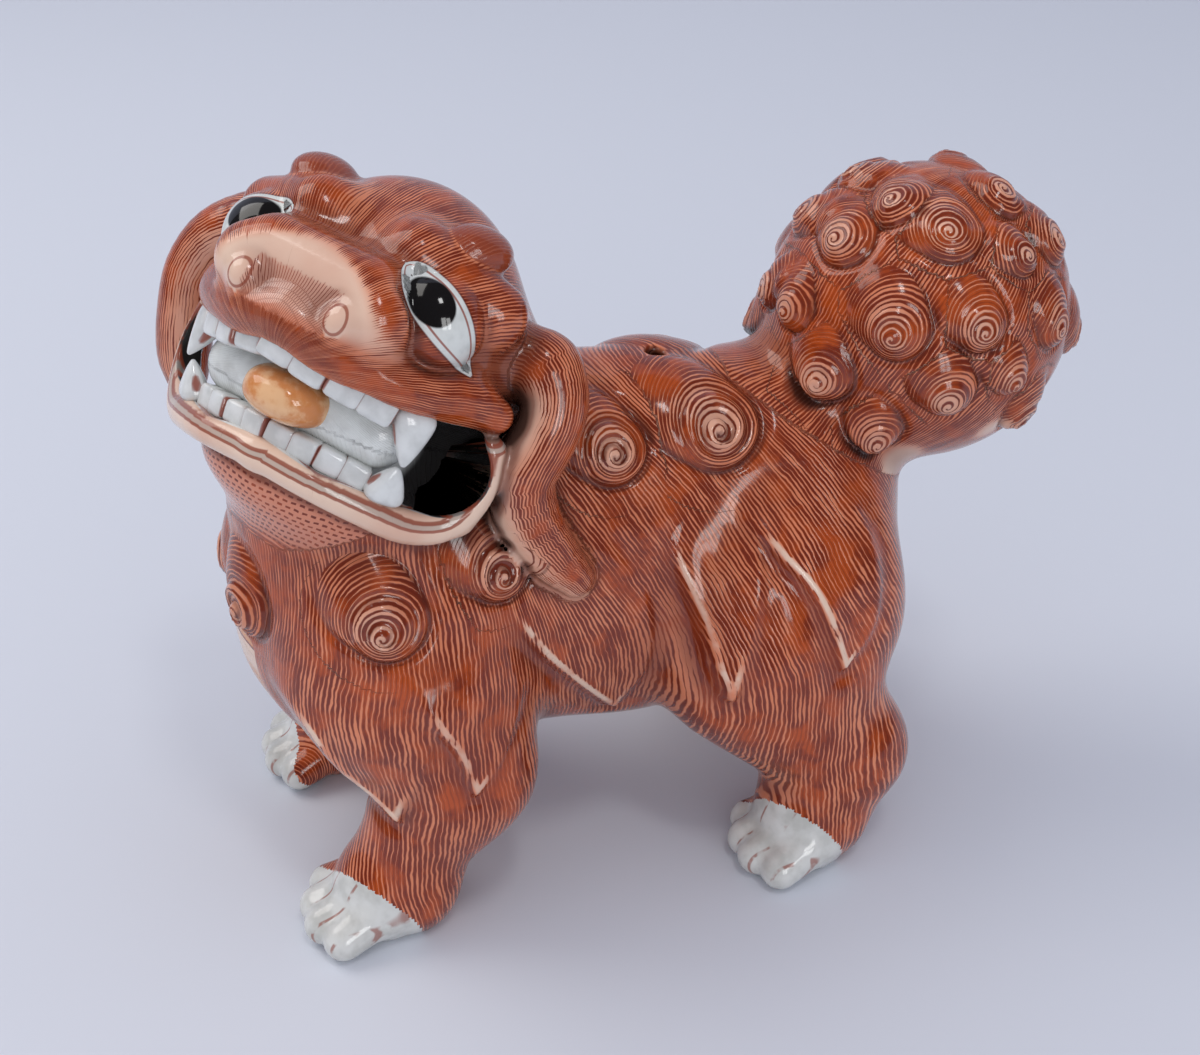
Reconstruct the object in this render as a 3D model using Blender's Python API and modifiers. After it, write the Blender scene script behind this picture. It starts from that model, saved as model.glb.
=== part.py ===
"""Foo dog statue: a small hollow porcelain lion dog, standing, with its head turned to its left.

The dog faces -Y, its left side is +X, and it stands on z = 0. Real dogs of this kind are pressed in
moulds in pieces, which are luted together with slip before firing, and the pieces here are those
mouldings. Every length below is in millimetres and becomes metres where the geometry is made.
"""

import math

import bmesh
import bpy
from mathutils import Matrix, Vector
from mathutils.bvhtree import BVHTree

MM = 0.001

# ---- driving dimensions, in millimetres ----
WALL = 3.2                     # thickness of the pressed clay
SEAM = 0.3                     # gap between neighbouring pieces
SEAT_GAP = 0.42                # how far a seat is cut beyond the piece under it
VENT_RADIUS = 1.3              # vent hole on the back, which lets the kiln gases out

HEAD_YAW, HEAD_PITCH, HEAD_ROLL = 48.0, 24.0, -14.0
HEAD_CENTRE = Vector((3.94, -24.69, 87.56))
COLLAR = Vector((1.0, -25.0, 71.0))        # where the neck seam crosses the neck's axis
COLLAR_TILT = 23.0             # degrees the seam drops towards the chest
JAW_SEAM = -9.3                # height of the seam between head and lower jaw
JAW_BACK = -3.0                # how far back the lower jaw reaches, on the head's forward axis

TAIL_CENTRE = Vector((0.0, 61.0, 79.5))
TAIL_RADII = (22.0, 23.5, 22.5)
TAIL_ROOT = Vector((0.0, 45.5, 63.8))      # where the tail seam crosses the tail's axis
TAIL_AXIS = Vector((0.0, 0.55, 0.83))      # from the root towards the ball
VENT = Vector((0.0, 18.5, 79.0))

TRUNK = (                      # centre, radii
    ((0.0, -10.0, 49.0), (22.5, 28.0, 28.0)),
    ((0.0, 14.0, 48.5), (20.5, 30.0, 31.0)),
    ((0.0, 38.0, 51.0), (21.5, 20.0, 25.0)),
)
NECK = ((0.0, -25.0, 44.0), (2.0, -25.0, 76.0), 21.5, 20.0)
NAPE = ((0.0, 1.0, 60.0), (1.0, -13.0, 78.0), 15.0, 15.0)

# On the dog's left side; the right side is its mirror image.
FRONT_LEG = {
    "lumps": (((15.0, -24.0, 44.0), (13.0, 18.0, 22.0)),),
    "limbs": (
        ((17.0, -22.0, 38.0), (19.0, -18.0, 25.0), 13.0, 11.0),
        ((19.0, -19.0, 25.0), (20.0, -28.0, 9.0), 10.2, 8.0),
        ((20.0, -28.0, 6.0), (20.5, -31.5, 5.2), 8.4, 7.6),
    ),
    "paw": (20.5, -36.0),
}
REAR_LEG = {
    "lumps": (((16.0, 34.0, 39.0), (14.0, 20.0, 21.0)),),
    "limbs": (
        ((18.0, 30.0, 32.0), (23.0, 41.0, 18.0), 13.5, 10.5),
        ((23.0, 44.0, 17.0), (24.0, 38.0, 9.0), 8.5, 8.0),
        ((24.5, 38.0, 6.0), (26.0, 35.5, 5.2), 8.4, 7.8),
    ),
    "paw": (26.5, 31.5),
}
TOE_SPREAD = 4.2               # distance between neighbouring toes
TOE_SEAM = (1.5, 4.0)          # where the toe caps end: behind the paw's place, and up
TOE_LEAN = Vector((0.0, -1.0, -0.75)).normalized()     # direction in which the toe caps lie

EYE = ((13.2, 9.8, 8.8), (6.5, 6.0, 6.5))            # left, forward, up on the head; radii
HORN_BUD = ((12.2, 3.0, 18.8), (4.4, 5.4, 3.2))
TONGUE = ((0.5, 12.5, -7.4), (7.3, 8.0, 3.2))
UPPER_LIP = ((0.0, 21.2, 3.4, 2.6), (5.0, 20.7, 2.4, 2.8), (10.7, 17.2, 1.0, 3.0),
             (16.0, 12.2, 0.4, 3.0), (19.7, 6.7, 1.2, 2.7), (22.6, 2.1, -0.2, 2.3))
LOWER_LIP = ((0.0, 16.0, -15.5, 2.4), (8.0, 15.0, -16.0, 2.4), (14.0, 11.0, -17.0, 2.4),
             (18.5, 6.5, -18.0, 2.4), (22.0, 2.5, -16.0, 2.3), (23.5, 1.0, -10.5, 2.2),
             (23.0, 1.0, -5.0, 2.2))
UPPER_TEETH = ((0.0, 20.8, -1.0), (8.0, 18.2, -2.6), (13.6, 13.8, -3.6))
LOWER_TEETH = ((0.0, 16.2, -11.6), (8.0, 14.6, -12.2), (12.6, 12.0, -13.0))
TOOTH_STEPS = (0.0, 0.29, 0.57, 0.86)      # places of the teeth, as shares of half a row
UPPER_FANG = ((16.3, 11.0, -2.5), (17.2, 11.3, -8.2), 3.1, 1.3)
LOWER_FANG = ((15.4, 10.4, -14.6), (16.5, 11.3, -10.4), 2.9, 1.2)
# The ears are rolled by hand and differ: the left one flares out at its end, the right one hangs straight.
EARS = {
    "left": ((19.0, -5.0, 6.8, 5.0), (23.5, -5.0, 7.0, 4.8), (26.8, -5.0, 3.5, 4.5),
             (27.3, -4.5, -1.5, 4.5), (26.6, -4.5, -7.5, 4.6), (28.3, -8.0, -13.0, 4.5),
             (31.8, -12.0, -17.0, 3.9), (35.3, -15.5, -19.5, 2.8)),
    "right": ((19.0, -5.0, 6.8, 5.0), (25.0, -4.8, 7.4, 4.7), (30.3, -4.6, 3.6, 4.4),
              (32.8, -5.0, -2.5, 4.2), (32.4, -6.0, -9.0, 4.2), (31.4, -7.2, -14.5, 4.0),
              (30.6, -8.5, -17.8, 3.2)),
}

# Curls on the left half of the tail ball: degrees round from +X, degrees up, radius.
TAIL_CURLS = (
    (-70, 43, 5.0), (-15, 54, 5.6), (23, 40, 4.0), (-79, 13, 3.9), (-36, 16, 5.5),
    (-3, 18, 4.5), (-60, -6, 4.8), (-14, -9, 4.6), (12, -5, 3.6), (-41, -29, 4.4),
)
# Curls on the left of the trunk: name, a point in front of the skin, a point inside it, radius.
BODY_CURLS = (
    ("chest_curl", (11.0, -60.0, 53.0), (4.0, -25.0, 52.0), 5.6),
    ("shoulder_curl", (45.0, -36.0, 62.0), (8.0, -22.0, 52.0), 6.6),
    ("side_curl", (45.0, -10.0, 66.0), (6.0, -14.0, 56.0), 4.6),
    ("front_back_curl", (35.0, 5.0, 98.0), (0.0, 7.5, 56.0), 5.8),
    ("rear_back_curl", (30.0, 27.0, 98.0), (0.0, 21.0, 56.0), 6.6),
)
CURL_RISE = 0.32               # height of a curl's dome, as a share of its radius
CURL_STEPS = ((1.0, 0.05), (0.84, 0.6), (0.62, 0.52), (0.36, 1.0), (0.0, 0.95))
CURL_SIDES = 10

# Triangles that each kind of skin is reduced to.
TRIANGLES = {"trunk": 820, "trunk_core": 260, "head": 1500, "head_core": 180, "mouth": 240,
             "tail": 460, "tail_core": 160, "leg": 320, "paw": 200, "ear": 170, "teeth": 190,
             "horn_bud": 100, "tongue": 150}

# ---- materials ----
FINISHES = {                   # base colour, roughness
    "red_enamel": ((0.42, 0.085, 0.03, 1.0), 0.16),
    "white_glaze": ((0.74, 0.78, 0.75, 1.0), 0.1),
    "orange_enamel": ((0.62, 0.2, 0.05, 1.0), 0.12),
    "eye_glaze": ((0.78, 0.8, 0.76, 1.0), 0.06),
}


def metres(values):
    """Turns millimetres into a vector in metres."""
    return Vector(values) * MM


def head_axes():
    """The head's left, back and up directions."""
    yaw, pitch, roll = (math.radians(a) for a in (HEAD_YAW, HEAD_PITCH, HEAD_ROLL))
    level_forward = Vector((math.sin(yaw), -math.cos(yaw), 0.0))
    level_left = Vector((math.cos(yaw), math.sin(yaw), 0.0))
    forward = math.cos(pitch) * level_forward + math.sin(pitch) * Vector((0.0, 0.0, 1.0))
    level_up = -math.sin(pitch) * level_forward + math.cos(pitch) * Vector((0.0, 0.0, 1.0))
    left = math.cos(roll) * level_left + math.sin(roll) * level_up
    up = -math.sin(roll) * level_left + math.cos(roll) * level_up
    return left, -forward, up


HEAD_LEFT, HEAD_BACK, HEAD_UP = head_axes()
HEAD_FRAME = Matrix((HEAD_LEFT, HEAD_BACK, HEAD_UP)).transposed()
COLLAR_FRAME = Matrix.Rotation(math.radians(COLLAR_TILT), 3, "X")


def on_head(place):
    """A place given as left, forward and up on the head, in the dog's millimetres."""
    left, forward, up = place[:3]
    return HEAD_CENTRE + left * HEAD_LEFT - forward * HEAD_BACK + up * HEAD_UP


# ---- clay: lumps and limbs collected in one bmesh ----

def lump(clay, centre, radii, frame=None, shrink=0.0, rings=14):
    """Adds an ellipsoid whose axes lie along the frame."""
    turn = frame.to_4x4() if frame else Matrix.Identity(4)
    stretch = Matrix.Diagonal([(r - shrink) * MM for r in radii]).to_4x4()
    place = Matrix.Translation(metres(centre)) @ turn @ stretch
    bmesh.ops.create_uvsphere(clay, u_segments=2 * rings - 4, v_segments=rings, radius=1.0, matrix=place)


def limb(clay, start, end, start_radius, end_radius, shrink=0.0, rings=12):
    """Adds a tapered limb: the hull round a ball at each end."""
    piece = bmesh.new()
    for centre, radius in ((start, start_radius), (end, end_radius)):
        bmesh.ops.create_uvsphere(
            piece, u_segments=rings + 4, v_segments=rings, radius=(radius - shrink) * MM,
            matrix=Matrix.Translation(metres(centre)))
    bmesh.ops.delete(piece, geom=piece.edges[:], context="EDGES_FACES")
    hull = bmesh.ops.convex_hull(piece, input=piece.verts)
    inner = [g for g in hull["geom_interior"] + hull["geom_unused"] if isinstance(g, bmesh.types.BMVert)]
    bmesh.ops.delete(piece, geom=list(set(inner)), context="VERTS")
    mesh = bpy.data.meshes.new("limb")
    piece.to_mesh(mesh)
    piece.free()
    clay.from_mesh(mesh)
    bpy.data.meshes.remove(mesh)


def chain(clay, joints):
    """Adds limbs that run through a row of places, each with its radius as the last number."""
    for (a, ra), (b, rb) in zip(joints[:-1], joints[1:]):
        limb(clay, a, b, ra, rb)


def put(mesh_or_clay, name, collection):
    """Makes an object of a mesh, or of collected clay, in the collection."""
    mesh = mesh_or_clay
    if isinstance(mesh_or_clay, bmesh.types.BMesh):
        mesh = bpy.data.meshes.new(name)
        mesh_or_clay.to_mesh(mesh)
        mesh_or_clay.free()
    obj = bpy.data.objects.new(name, mesh)
    collection.objects.link(obj)
    return obj


def bake(obj):
    """Replaces an object's modifiers by their result."""
    depsgraph = bpy.context.evaluated_depsgraph_get()
    mesh = bpy.data.meshes.new_from_object(obj.evaluated_get(depsgraph))
    obj.modifiers.clear()
    obj.data = mesh
    return obj


def fuse(obj, voxel, triangles, rounds=6):
    """Fuses an object's lumps into one skin, smooths it and thins out its triangles."""
    remesh = obj.modifiers.new("fuse", "REMESH")
    remesh.mode = "VOXEL"
    remesh.voxel_size = voxel * MM
    if rounds:
        smooth = obj.modifiers.new("smooth", "SMOOTH")
        smooth.factor = 0.5
        smooth.iterations = rounds
    bake(obj)
    thin = obj.modifiers.new("thin", "DECIMATE")
    thin.ratio = min(1.0, triangles / (2 * len(obj.data.polygons)))
    thin.use_collapse_triangulate = True
    return bake(obj)


def cut(obj, cutter, operation="DIFFERENCE"):
    """Cuts an object with another one, which may fold over itself, and keeps the largest body."""
    boolean = obj.modifiers.new("cut", "BOOLEAN")
    boolean.operation = operation
    boolean.solver = "EXACT"
    boolean.use_self = True
    boolean.object = cutter
    bake(obj)
    return keep_largest(obj)


def keep_largest(obj):
    """Drops the chips that a cut leaves loose, and closes any vertex pairs at one place."""
    body = bmesh.new()
    body.from_mesh(obj.data)
    bmesh.ops.remove_doubles(body, verts=body.verts, dist=2e-7)
    bmesh.ops.dissolve_degenerate(body, edges=body.edges, dist=2e-7)
    bmesh.ops.triangulate(body, faces=body.faces)
    islands, seen = [], set()
    for first in body.faces:
        if first in seen:
            continue
        island, queue = [], [first]
        seen.add(first)
        while queue:
            face = queue.pop()
            island.append(face)
            for edge in face.edges:
                for other in edge.link_faces:
                    if other not in seen:
                        seen.add(other)
                        queue.append(other)
        islands.append(island)
    islands.sort(key=len, reverse=True)
    chips = [face for island in islands[1:] for face in island]
    if chips:
        bmesh.ops.delete(body, geom=chips, context="FACES")
        loose = [v for v in body.verts if not v.link_faces]
        bmesh.ops.delete(body, geom=loose, context="VERTS")
    body.to_mesh(obj.data)
    body.free()
    return obj


def swollen(obj, distance, name, guides):
    """A copy of an object with its skin moved out, used to cut the seat of what sits on it."""
    mesh = obj.data.copy()
    moved = [v.co + v.normal * distance * MM for v in mesh.vertices]
    for vertex, place in zip(mesh.vertices, moved):
        vertex.co = place
    return put(mesh, name, guides)


def slab(name, guides, centre, size, frame=None):
    """A box used as a cutter."""
    box = bmesh.new()
    turn = frame.to_4x4() if frame else Matrix.Identity(4)
    place = Matrix.Translation(metres(centre)) @ turn @ Matrix.Diagonal(metres(size)).to_4x4()
    bmesh.ops.create_cube(box, size=1.0, matrix=place)
    return put(box, name, guides)


def facing(direction):
    """A frame whose third axis points along the direction."""
    return Vector(direction).normalized().to_track_quat("Z", "Y").to_matrix()


def split_in_halves(obj, guides, names, collection):
    """Parts a moulding at the dog's middle plane into its left and its right half."""
    other = put(obj.data.copy(), names[1], collection)
    obj.name = names[0]
    for half, side in ((obj, 1.0), (other, -1.0)):
        keep = slab(names[0] + "_side", guides, (side * (100.0 + SEAM / 2), 0, 50), (200, 400, 400))
        cut(half, keep, "INTERSECT")
    return obj, other


# ---- the mouldings ----

def trunk_clay(shrink=0.0):
    """The trunk with the neck, the nape and the root of the tail; shrunk, it is their hollow."""
    clay = bmesh.new()
    for centre, radii in TRUNK:
        lump(clay, centre, radii, shrink=shrink)
    start, end, start_radius, end_radius = NECK
    top = Vector(end) + (Vector(end) - Vector(start)) * 0.3
    limb(clay, start, top, start_radius, end_radius, shrink)
    limb(clay, *NAPE, shrink)
    if shrink == 0.0:
        limb(clay, (0, 40, 57), (0, 49, 68), 12.5, 13.0)
    else:
        limb(clay, (0, 38, 55), (0, 52, 72), 9.0, 9.0)
    return clay


def build_trunk(parts, guides):
    """The two body halves, hollow, with the collar and the tail root cut flat."""
    skin = fuse(put(trunk_clay(), "trunk", parts), 1.6, TRIANGLES["trunk"], 8)
    solid = put(skin.data.copy(), "trunk_solid", guides)
    above = COLLAR + COLLAR_FRAME @ Vector((0.0, 0.0, 40.0 - SEAM))
    cut(skin, slab("collar_cutter", guides, above, (120, 120, 80), COLLAR_FRAME))
    tail = TAIL_ROOT + TAIL_AXIS * 40.0
    cut(skin, slab("tail_root_cutter", guides, tail, (60, 46, 80), facing(TAIL_AXIS)))
    core = fuse(put(trunk_clay(WALL), "trunk_core", guides), 2.0, TRIANGLES["trunk_core"], 4)
    cut(skin, core)
    vent = bmesh.new()
    bmesh.ops.create_cone(
        vent, cap_ends=True, segments=16, radius1=VENT_RADIUS * MM, radius2=VENT_RADIUS * MM,
        depth=16 * MM, matrix=Matrix.Translation(metres(VENT)))
    cut(skin, put(vent, "vent_drill", guides))
    halves = split_in_halves(skin, guides, ("body_left", "body_right"), parts)
    return halves, solid


def head_clay():
    """The head with muzzle, jaw, cheeks, brows, nose and lips, and the throat below."""
    clay = bmesh.new()
    lump(clay, on_head((0.3, -3.5, 3.2)), (18.3, 19.0, 20.3), HEAD_FRAME)
    lump(clay, on_head((0, 9, 2)), (15.0, 13.5, 10.0), HEAD_FRAME)
    lump(clay, on_head((0, 2, -19)), (16.0, 13.0, 7.5), HEAD_FRAME)
    start, end, start_radius, end_radius = NECK
    limb(clay, start, end, start_radius, end_radius)
    limb(clay, *NAPE)
    limb(clay, on_head((-6, 17, 9.5)), on_head((6, 17, 9.5)), 4.6, 4.6)
    for side in (1, -1):
        lump(clay, on_head((side * 14.8, 2, 0)), (6.5, 9.0, 8.0), HEAD_FRAME)
        limb(clay, on_head((side * 5, 12, 15)), on_head((side * 17, 5, 12)), 4.5, 4.5)
        lump(clay, on_head((side * 9.5, 17.5, 7)), (4.5, 5.0, 5.0), HEAD_FRAME)
        for lip in (UPPER_LIP, LOWER_LIP):
            chain(clay, [(on_head((side * p[0], p[1], p[2])), p[3]) for p in lip])
    return clay


def mouth_cavity(guides):
    """The open mouth: a wide pocket, pierced at both corners."""
    clay = bmesh.new()
    lump(clay, on_head((0, 12, -6.7)), (15.5, 12.5, 6.6), HEAD_FRAME)
    for side in (1, -1):
        limb(clay, on_head((side * 9, 14, -7.4)), on_head((side * 18.5, 4, -9)), 6.3, 5.8)
        limb(clay, on_head((side * 18.5, 4, -9.2)), on_head((side * 13, -6, -9)), 5.4, 4.6)
    return fuse(put(clay, "mouth_cavity", guides), 0.9, TRIANGLES["mouth"], 3)


def build_head(parts, guides):
    """The hollow head and its separately pressed lower jaw."""
    skin = fuse(put(head_clay(), "head", parts), 1.0, TRIANGLES["head"], 3)
    solid = put(skin.data.copy(), "head_solid", guides)
    cut(skin, mouth_cavity(guides))
    core = bmesh.new()
    lump(core, on_head((0, -5, 4)), (14.5, 13.5, 15.5), HEAD_FRAME)
    limb(core, on_head((0, -5, -4)), NECK[0], 13.0, NECK[2], WALL)
    cut(skin, fuse(put(core, "head_core", guides), 1.6, TRIANGLES["head_core"], 3))
    below = COLLAR + COLLAR_FRAME @ Vector((0.0, 0.0, -60.0))
    cut(skin, slab("throat_cutter", guides, below, (200, 200, 120), COLLAR_FRAME))
    jaw = put(skin.data.copy(), "lower_jaw", parts)
    size = (120, 80, 60)
    corner = on_head((0, JAW_BACK + size[1] / 2, JAW_SEAM - size[2] / 2))
    cut(jaw, slab("jaw_keeper", guides, corner, size, HEAD_FRAME), "INTERSECT")
    wider = [s + 2 * SEAM for s in size]
    cut(skin, slab("jaw_cutter", guides, corner, wider, HEAD_FRAME))
    return skin, jaw, solid


def build_eyes(parts, guides, head):
    """Bulging eyeballs, each in a socket cut through the face."""
    for side, name in ((1, "eyeball_left"), (-1, "eyeball_right")):
        place, radii = EYE
        ball = bmesh.new()
        lump(ball, on_head((side * place[0], *place[1:])), radii, HEAD_FRAME, rings=10)
        bmesh.ops.triangulate(ball, faces=ball.faces)
        socket = bmesh.new()
        lump(socket, on_head((side * place[0], *place[1:])), radii, HEAD_FRAME, -SEAM, 10)
        put(ball, name, parts)
        cut(head, put(socket, name + "_socket", guides))


def build_horn_buds(parts, seat):
    """The two knobs on the forehead."""
    for side, name in ((1, "horn_bud_left"), (-1, "horn_bud_right")):
        place, radii = HORN_BUD
        clay = bmesh.new()
        lump(clay, on_head((side * place[0], *place[1:])), radii, HEAD_FRAME)
        cut(fuse(put(clay, name, parts), 0.9, TRIANGLES["horn_bud"], 2), seat)


def build_ears(parts, seats):
    """Long hanging ears, rolled by hand and luted to the sides of the head."""
    ears = []
    for side, hand in ((1, "left"), (-1, "right")):
        clay = bmesh.new()
        chain(clay, [(on_head((side * p[0], p[1], p[2])), p[3]) for p in EARS[hand]])
        ear = fuse(put(clay, f"ear_{hand}", parts), 0.9, TRIANGLES["ear"], 4)
        for seat in seats:
            cut(ear, seat)
        ears.append(ear)
    return ears


def along(path, share):
    """A place that lies a share of the way along a path of corner points."""
    corners = [Vector(p) for p in path]
    lengths = [(b - a).length for a, b in zip(corners[:-1], corners[1:])]
    left = share * sum(lengths)
    for start, end, length in zip(corners[:-1], corners[1:], lengths):
        if left <= length:
            return start.lerp(end, left / length)
        left -= length
    return corners[-1]


def tooth_row(name, path, height, parts):
    """A row of teeth pressed as one strip, along the lip."""
    clay = bmesh.new()
    for side in (1, -1):
        for step in TOOTH_STEPS:
            place = along(path, step)
            lump(clay, on_head((side * place[0], place[1], place[2])), (2.5, 1.6, height), HEAD_FRAME)
    return fuse(put(clay, name, parts), 0.6, TRIANGLES["teeth"], 1)


def fang(name, ends, radii, side, parts):
    """A pointed corner tooth."""
    clay = bmesh.new()
    limb(clay, *(on_head((side * p[0], *p[1:])) for p in ends), *radii, rings=6)
    return put(clay, name, parts)


def build_mouth(parts, guides, seats):
    """Teeth, fangs and tongue, each cut clear of the jaws and of the pieces set before it."""
    pieces = [tooth_row("upper_teeth", UPPER_TEETH, 2.6, parts),
              tooth_row("lower_teeth", LOWER_TEETH, 2.2, parts)]
    for row, (root, tip, root_radius, tip_radius) in (("upper", UPPER_FANG), ("lower", LOWER_FANG)):
        for side, hand in ((1, "left"), (-1, "right")):
            pieces.append(fang(f"{row}_fang_{hand}", (root, tip), (root_radius, tip_radius), side, parts))
    clay = bmesh.new()
    lump(clay, on_head(TONGUE[0]), TONGUE[1], HEAD_FRAME)
    pieces.append(fuse(put(clay, "tongue", parts), 0.9, TRIANGLES["tongue"], 1))
    earlier = list(seats)
    for piece in pieces:
        whole = swollen(piece, SEAT_GAP, piece.name + "_seat", guides)
        for seat in earlier:
            cut(piece, seat)
        earlier.append(whole)


def tail_clay(shrink=0.0):
    """The tail ball on its root; shrunk, it is their hollow."""
    clay = bmesh.new()
    lump(clay, TAIL_CENTRE, TAIL_RADII, shrink=shrink)
    if shrink == 0.0:
        limb(clay, (0, 40, 57), (0, 52, 72), 12.0, 13.5)
    else:
        limb(clay, (0, 38, 55), (0, 54, 74), 9.0, 9.5)
    return clay


def build_tail(parts, guides):
    """The hollow tail ball in two halves, open at its root to the body."""
    skin = fuse(put(tail_clay(), "tail", parts), 1.6, TRIANGLES["tail"], 6)
    solid = put(skin.data.copy(), "tail_solid", guides)
    below = TAIL_ROOT + TAIL_AXIS * (SEAM - 30.0)
    cut(skin, slab("tail_foot_cutter", guides, below, (90, 90, 60), facing(TAIL_AXIS)))
    cut(skin, fuse(put(tail_clay(WALL), "tail_core", guides), 2.0, TRIANGLES["tail_core"], 4))
    split_in_halves(skin, guides, ("tail_left", "tail_right"), parts)
    return solid


def curl_mesh(name, radius):
    """A dome in rounded steps, turned round its own Z axis."""
    profile = bmesh.new()
    rise = radius * CURL_RISE
    ring = [(radius * r, 0.0, rise * h) for r, h in CURL_STEPS]
    outline = list(reversed(ring)) + [(radius, 0.0, -1.6), (0.0, 0.0, -1.6)]
    corners = [profile.verts.new(metres(p)) for p in outline]
    for a, b in zip(corners[:-1], corners[1:]):
        profile.edges.new((a, b))
    bmesh.ops.spin(
        profile, geom=profile.verts[:] + profile.edges[:], cent=(0, 0, 0), axis=(0, 0, 1),
        angle=2 * math.pi, steps=CURL_SIDES)
    bmesh.ops.remove_doubles(profile, verts=profile.verts, dist=1e-6)
    bmesh.ops.recalc_face_normals(profile, faces=profile.faces)
    bmesh.ops.triangulate(profile, faces=profile.faces)
    mesh = bpy.data.meshes.new(name)
    profile.to_mesh(mesh)
    profile.free()
    return mesh


def seat_curl(parts, name, radius, place, normal, seats):
    """Sets a curl on the skin with its dome along the normal, and cuts the seats from it."""
    mesh = curl_mesh(name, radius)
    mesh.transform(Matrix.Translation(place) @ facing(normal).to_4x4())
    curl = put(mesh, name, parts)
    for seat in seats:
        cut(curl, seat)
    return curl


def build_tail_curls(parts, seat):
    """Curls on the tail ball, each standing straight out of it."""
    for number, (turn, rise, radius) in enumerate(TAIL_CURLS, 1):
        for side, hand in ((1, "left"), (-1, "right")):
            round_z, up = math.radians(turn), math.radians(rise)
            ray = Vector((side * math.cos(round_z) * math.cos(up), math.sin(round_z) * math.cos(up),
                          math.sin(up)))
            reach = 1.0 / math.sqrt(sum((c / r) ** 2 for c, r in zip(ray, TAIL_RADII)))
            normal = Vector([c / r ** 2 for c, r in zip(ray, TAIL_RADII)])
            name = f"tail_curl_{hand}_{number:02d}"
            seat_curl(parts, name, radius, metres(TAIL_CENTRE + ray * reach), normal, [seat])


def build_body_curls(parts, skins, seats):
    """Curls on chest, shoulders and back, each where a line into the body meets the skin."""
    trees = []
    for skin in skins:
        body = bmesh.new()
        body.from_mesh(skin.data)
        trees.append(BVHTree.FromBMesh(body))
        body.free()
    for name, outside, inside, radius in BODY_CURLS:
        for side, hand in ((1, "left"), (-1, "right")):
            start, end = (metres((side * p[0], *p[1:])) for p in (outside, inside))
            found = [tree.ray_cast(start, (end - start).normalized()) for tree in trees]
            place, normal, _, _ = min((f for f in found if f[0]), key=lambda f: f[3])
            lifted = normal.lerp((start - end).normalized(), 0.5)
            seat_curl(parts, f"{name}_{hand}", radius, place, lifted, seats)


def leg_clay(leg, side):
    """One leg, with the part of it that swells the trunk."""
    clay = bmesh.new()
    for centre, radii in leg["lumps"]:
        lump(clay, (side * centre[0], *centre[1:]), radii)
    for start, end, start_radius, end_radius in leg["limbs"]:
        limb(clay, (side * start[0], *start[1:]), (side * end[0], *end[1:]), start_radius, end_radius)
    return clay


def paw_clay(x, y):
    """Four rounded toes side by side in front of the foot."""
    clay = bmesh.new()
    for number in range(4):
        across = (number - 1.5) * TOE_SPREAD
        forward = 2.2 * (1.0 - (across / (1.5 * TOE_SPREAD)) ** 2)
        limb(clay, (x + across, y - 2.0 - forward, 2.9), (x + across * 0.6, y + 5.0, 5.6), 3.3, 3.8)
    return clay


def build_legs(parts, guides, trunk_seat, tail_seat):
    """Four legs with flat soles, and the white toe caps in front of them."""
    floor = slab("floor_cutter", guides, (0, 0, -50), (400, 400, 100))
    cap_size = (40.0, 40.0, 40.0)
    solids = []
    for leg_name, leg in (("front", FRONT_LEG), ("rear", REAR_LEG)):
        for side, hand in ((1, "left"), (-1, "right")):
            x, y = leg["paw"]
            leg_obj = put(leg_clay(leg, side), f"{leg_name}_leg_{hand}", parts)
            fuse(leg_obj, 1.4, TRIANGLES["leg"], 5)
            paw = put(paw_clay(side * x, y), f"{leg_name}_paw_{hand}", parts)
            fuse(paw, 0.8, TRIANGLES["paw"], 2)
            seam = Vector((side * x, y + TOE_SEAM[0], TOE_SEAM[1]))
            front = seam + TOE_LEAN * (cap_size[2] + SEAM) / 2
            keeper = slab(paw.name + "_keeper", guides, front, cap_size, facing(TOE_LEAN))
            cut(paw, keeper, "INTERSECT")
            cutter = slab(leg_obj.name + "_toe_cutter", guides, front - TOE_LEAN * SEAM, (30, 26, 40),
                          facing(TOE_LEAN))
            cut(leg_obj, cutter)
            for piece in (leg_obj, paw):
                cut(piece, floor)
            solids.append(put(leg_obj.data.copy(), leg_obj.name + "_solid", guides))
            cut(leg_obj, trunk_seat)
            if leg_name == "rear":
                cut(leg_obj, tail_seat)
    return solids


# ---- finishing ----

def finish_for(name):
    """The finish of each piece, told from its name."""
    if "teeth" in name or "fang" in name or "paw" in name:
        return "white_glaze"
    if name == "tongue":
        return "orange_enamel"
    if "eyeball" in name:
        return "eye_glaze"
    return "red_enamel"


def make_material(name):
    """A plain material in one of the finishes."""
    colour, roughness = FINISHES[name]
    material = bpy.data.materials.new(name)
    material.use_nodes = True
    shader = material.node_tree.nodes["Principled BSDF"]
    shader.inputs["Base Color"].default_value = colour
    shader.inputs["Roughness"].default_value = roughness
    shader.inputs["Metallic"].default_value = 0.0
    return material


def finish_parts(parts):
    """Gives each piece its own material, smooth shading and an origin at its middle."""
    for obj in parts.objects:
        obj.data.materials.clear()
        material = make_material(finish_for(obj.name))
        material.name = obj.name + "_glaze"
        obj.data.materials.append(material)
        obj.data.shade_smooth()
        obj.data.set_sharp_from_angle(angle=math.radians(40))
        corners = [v.co for v in obj.data.vertices]
        middle = sum(corners, Vector()) / len(corners)
        obj.data.transform(Matrix.Translation(-middle))
        obj.location = middle


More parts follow.
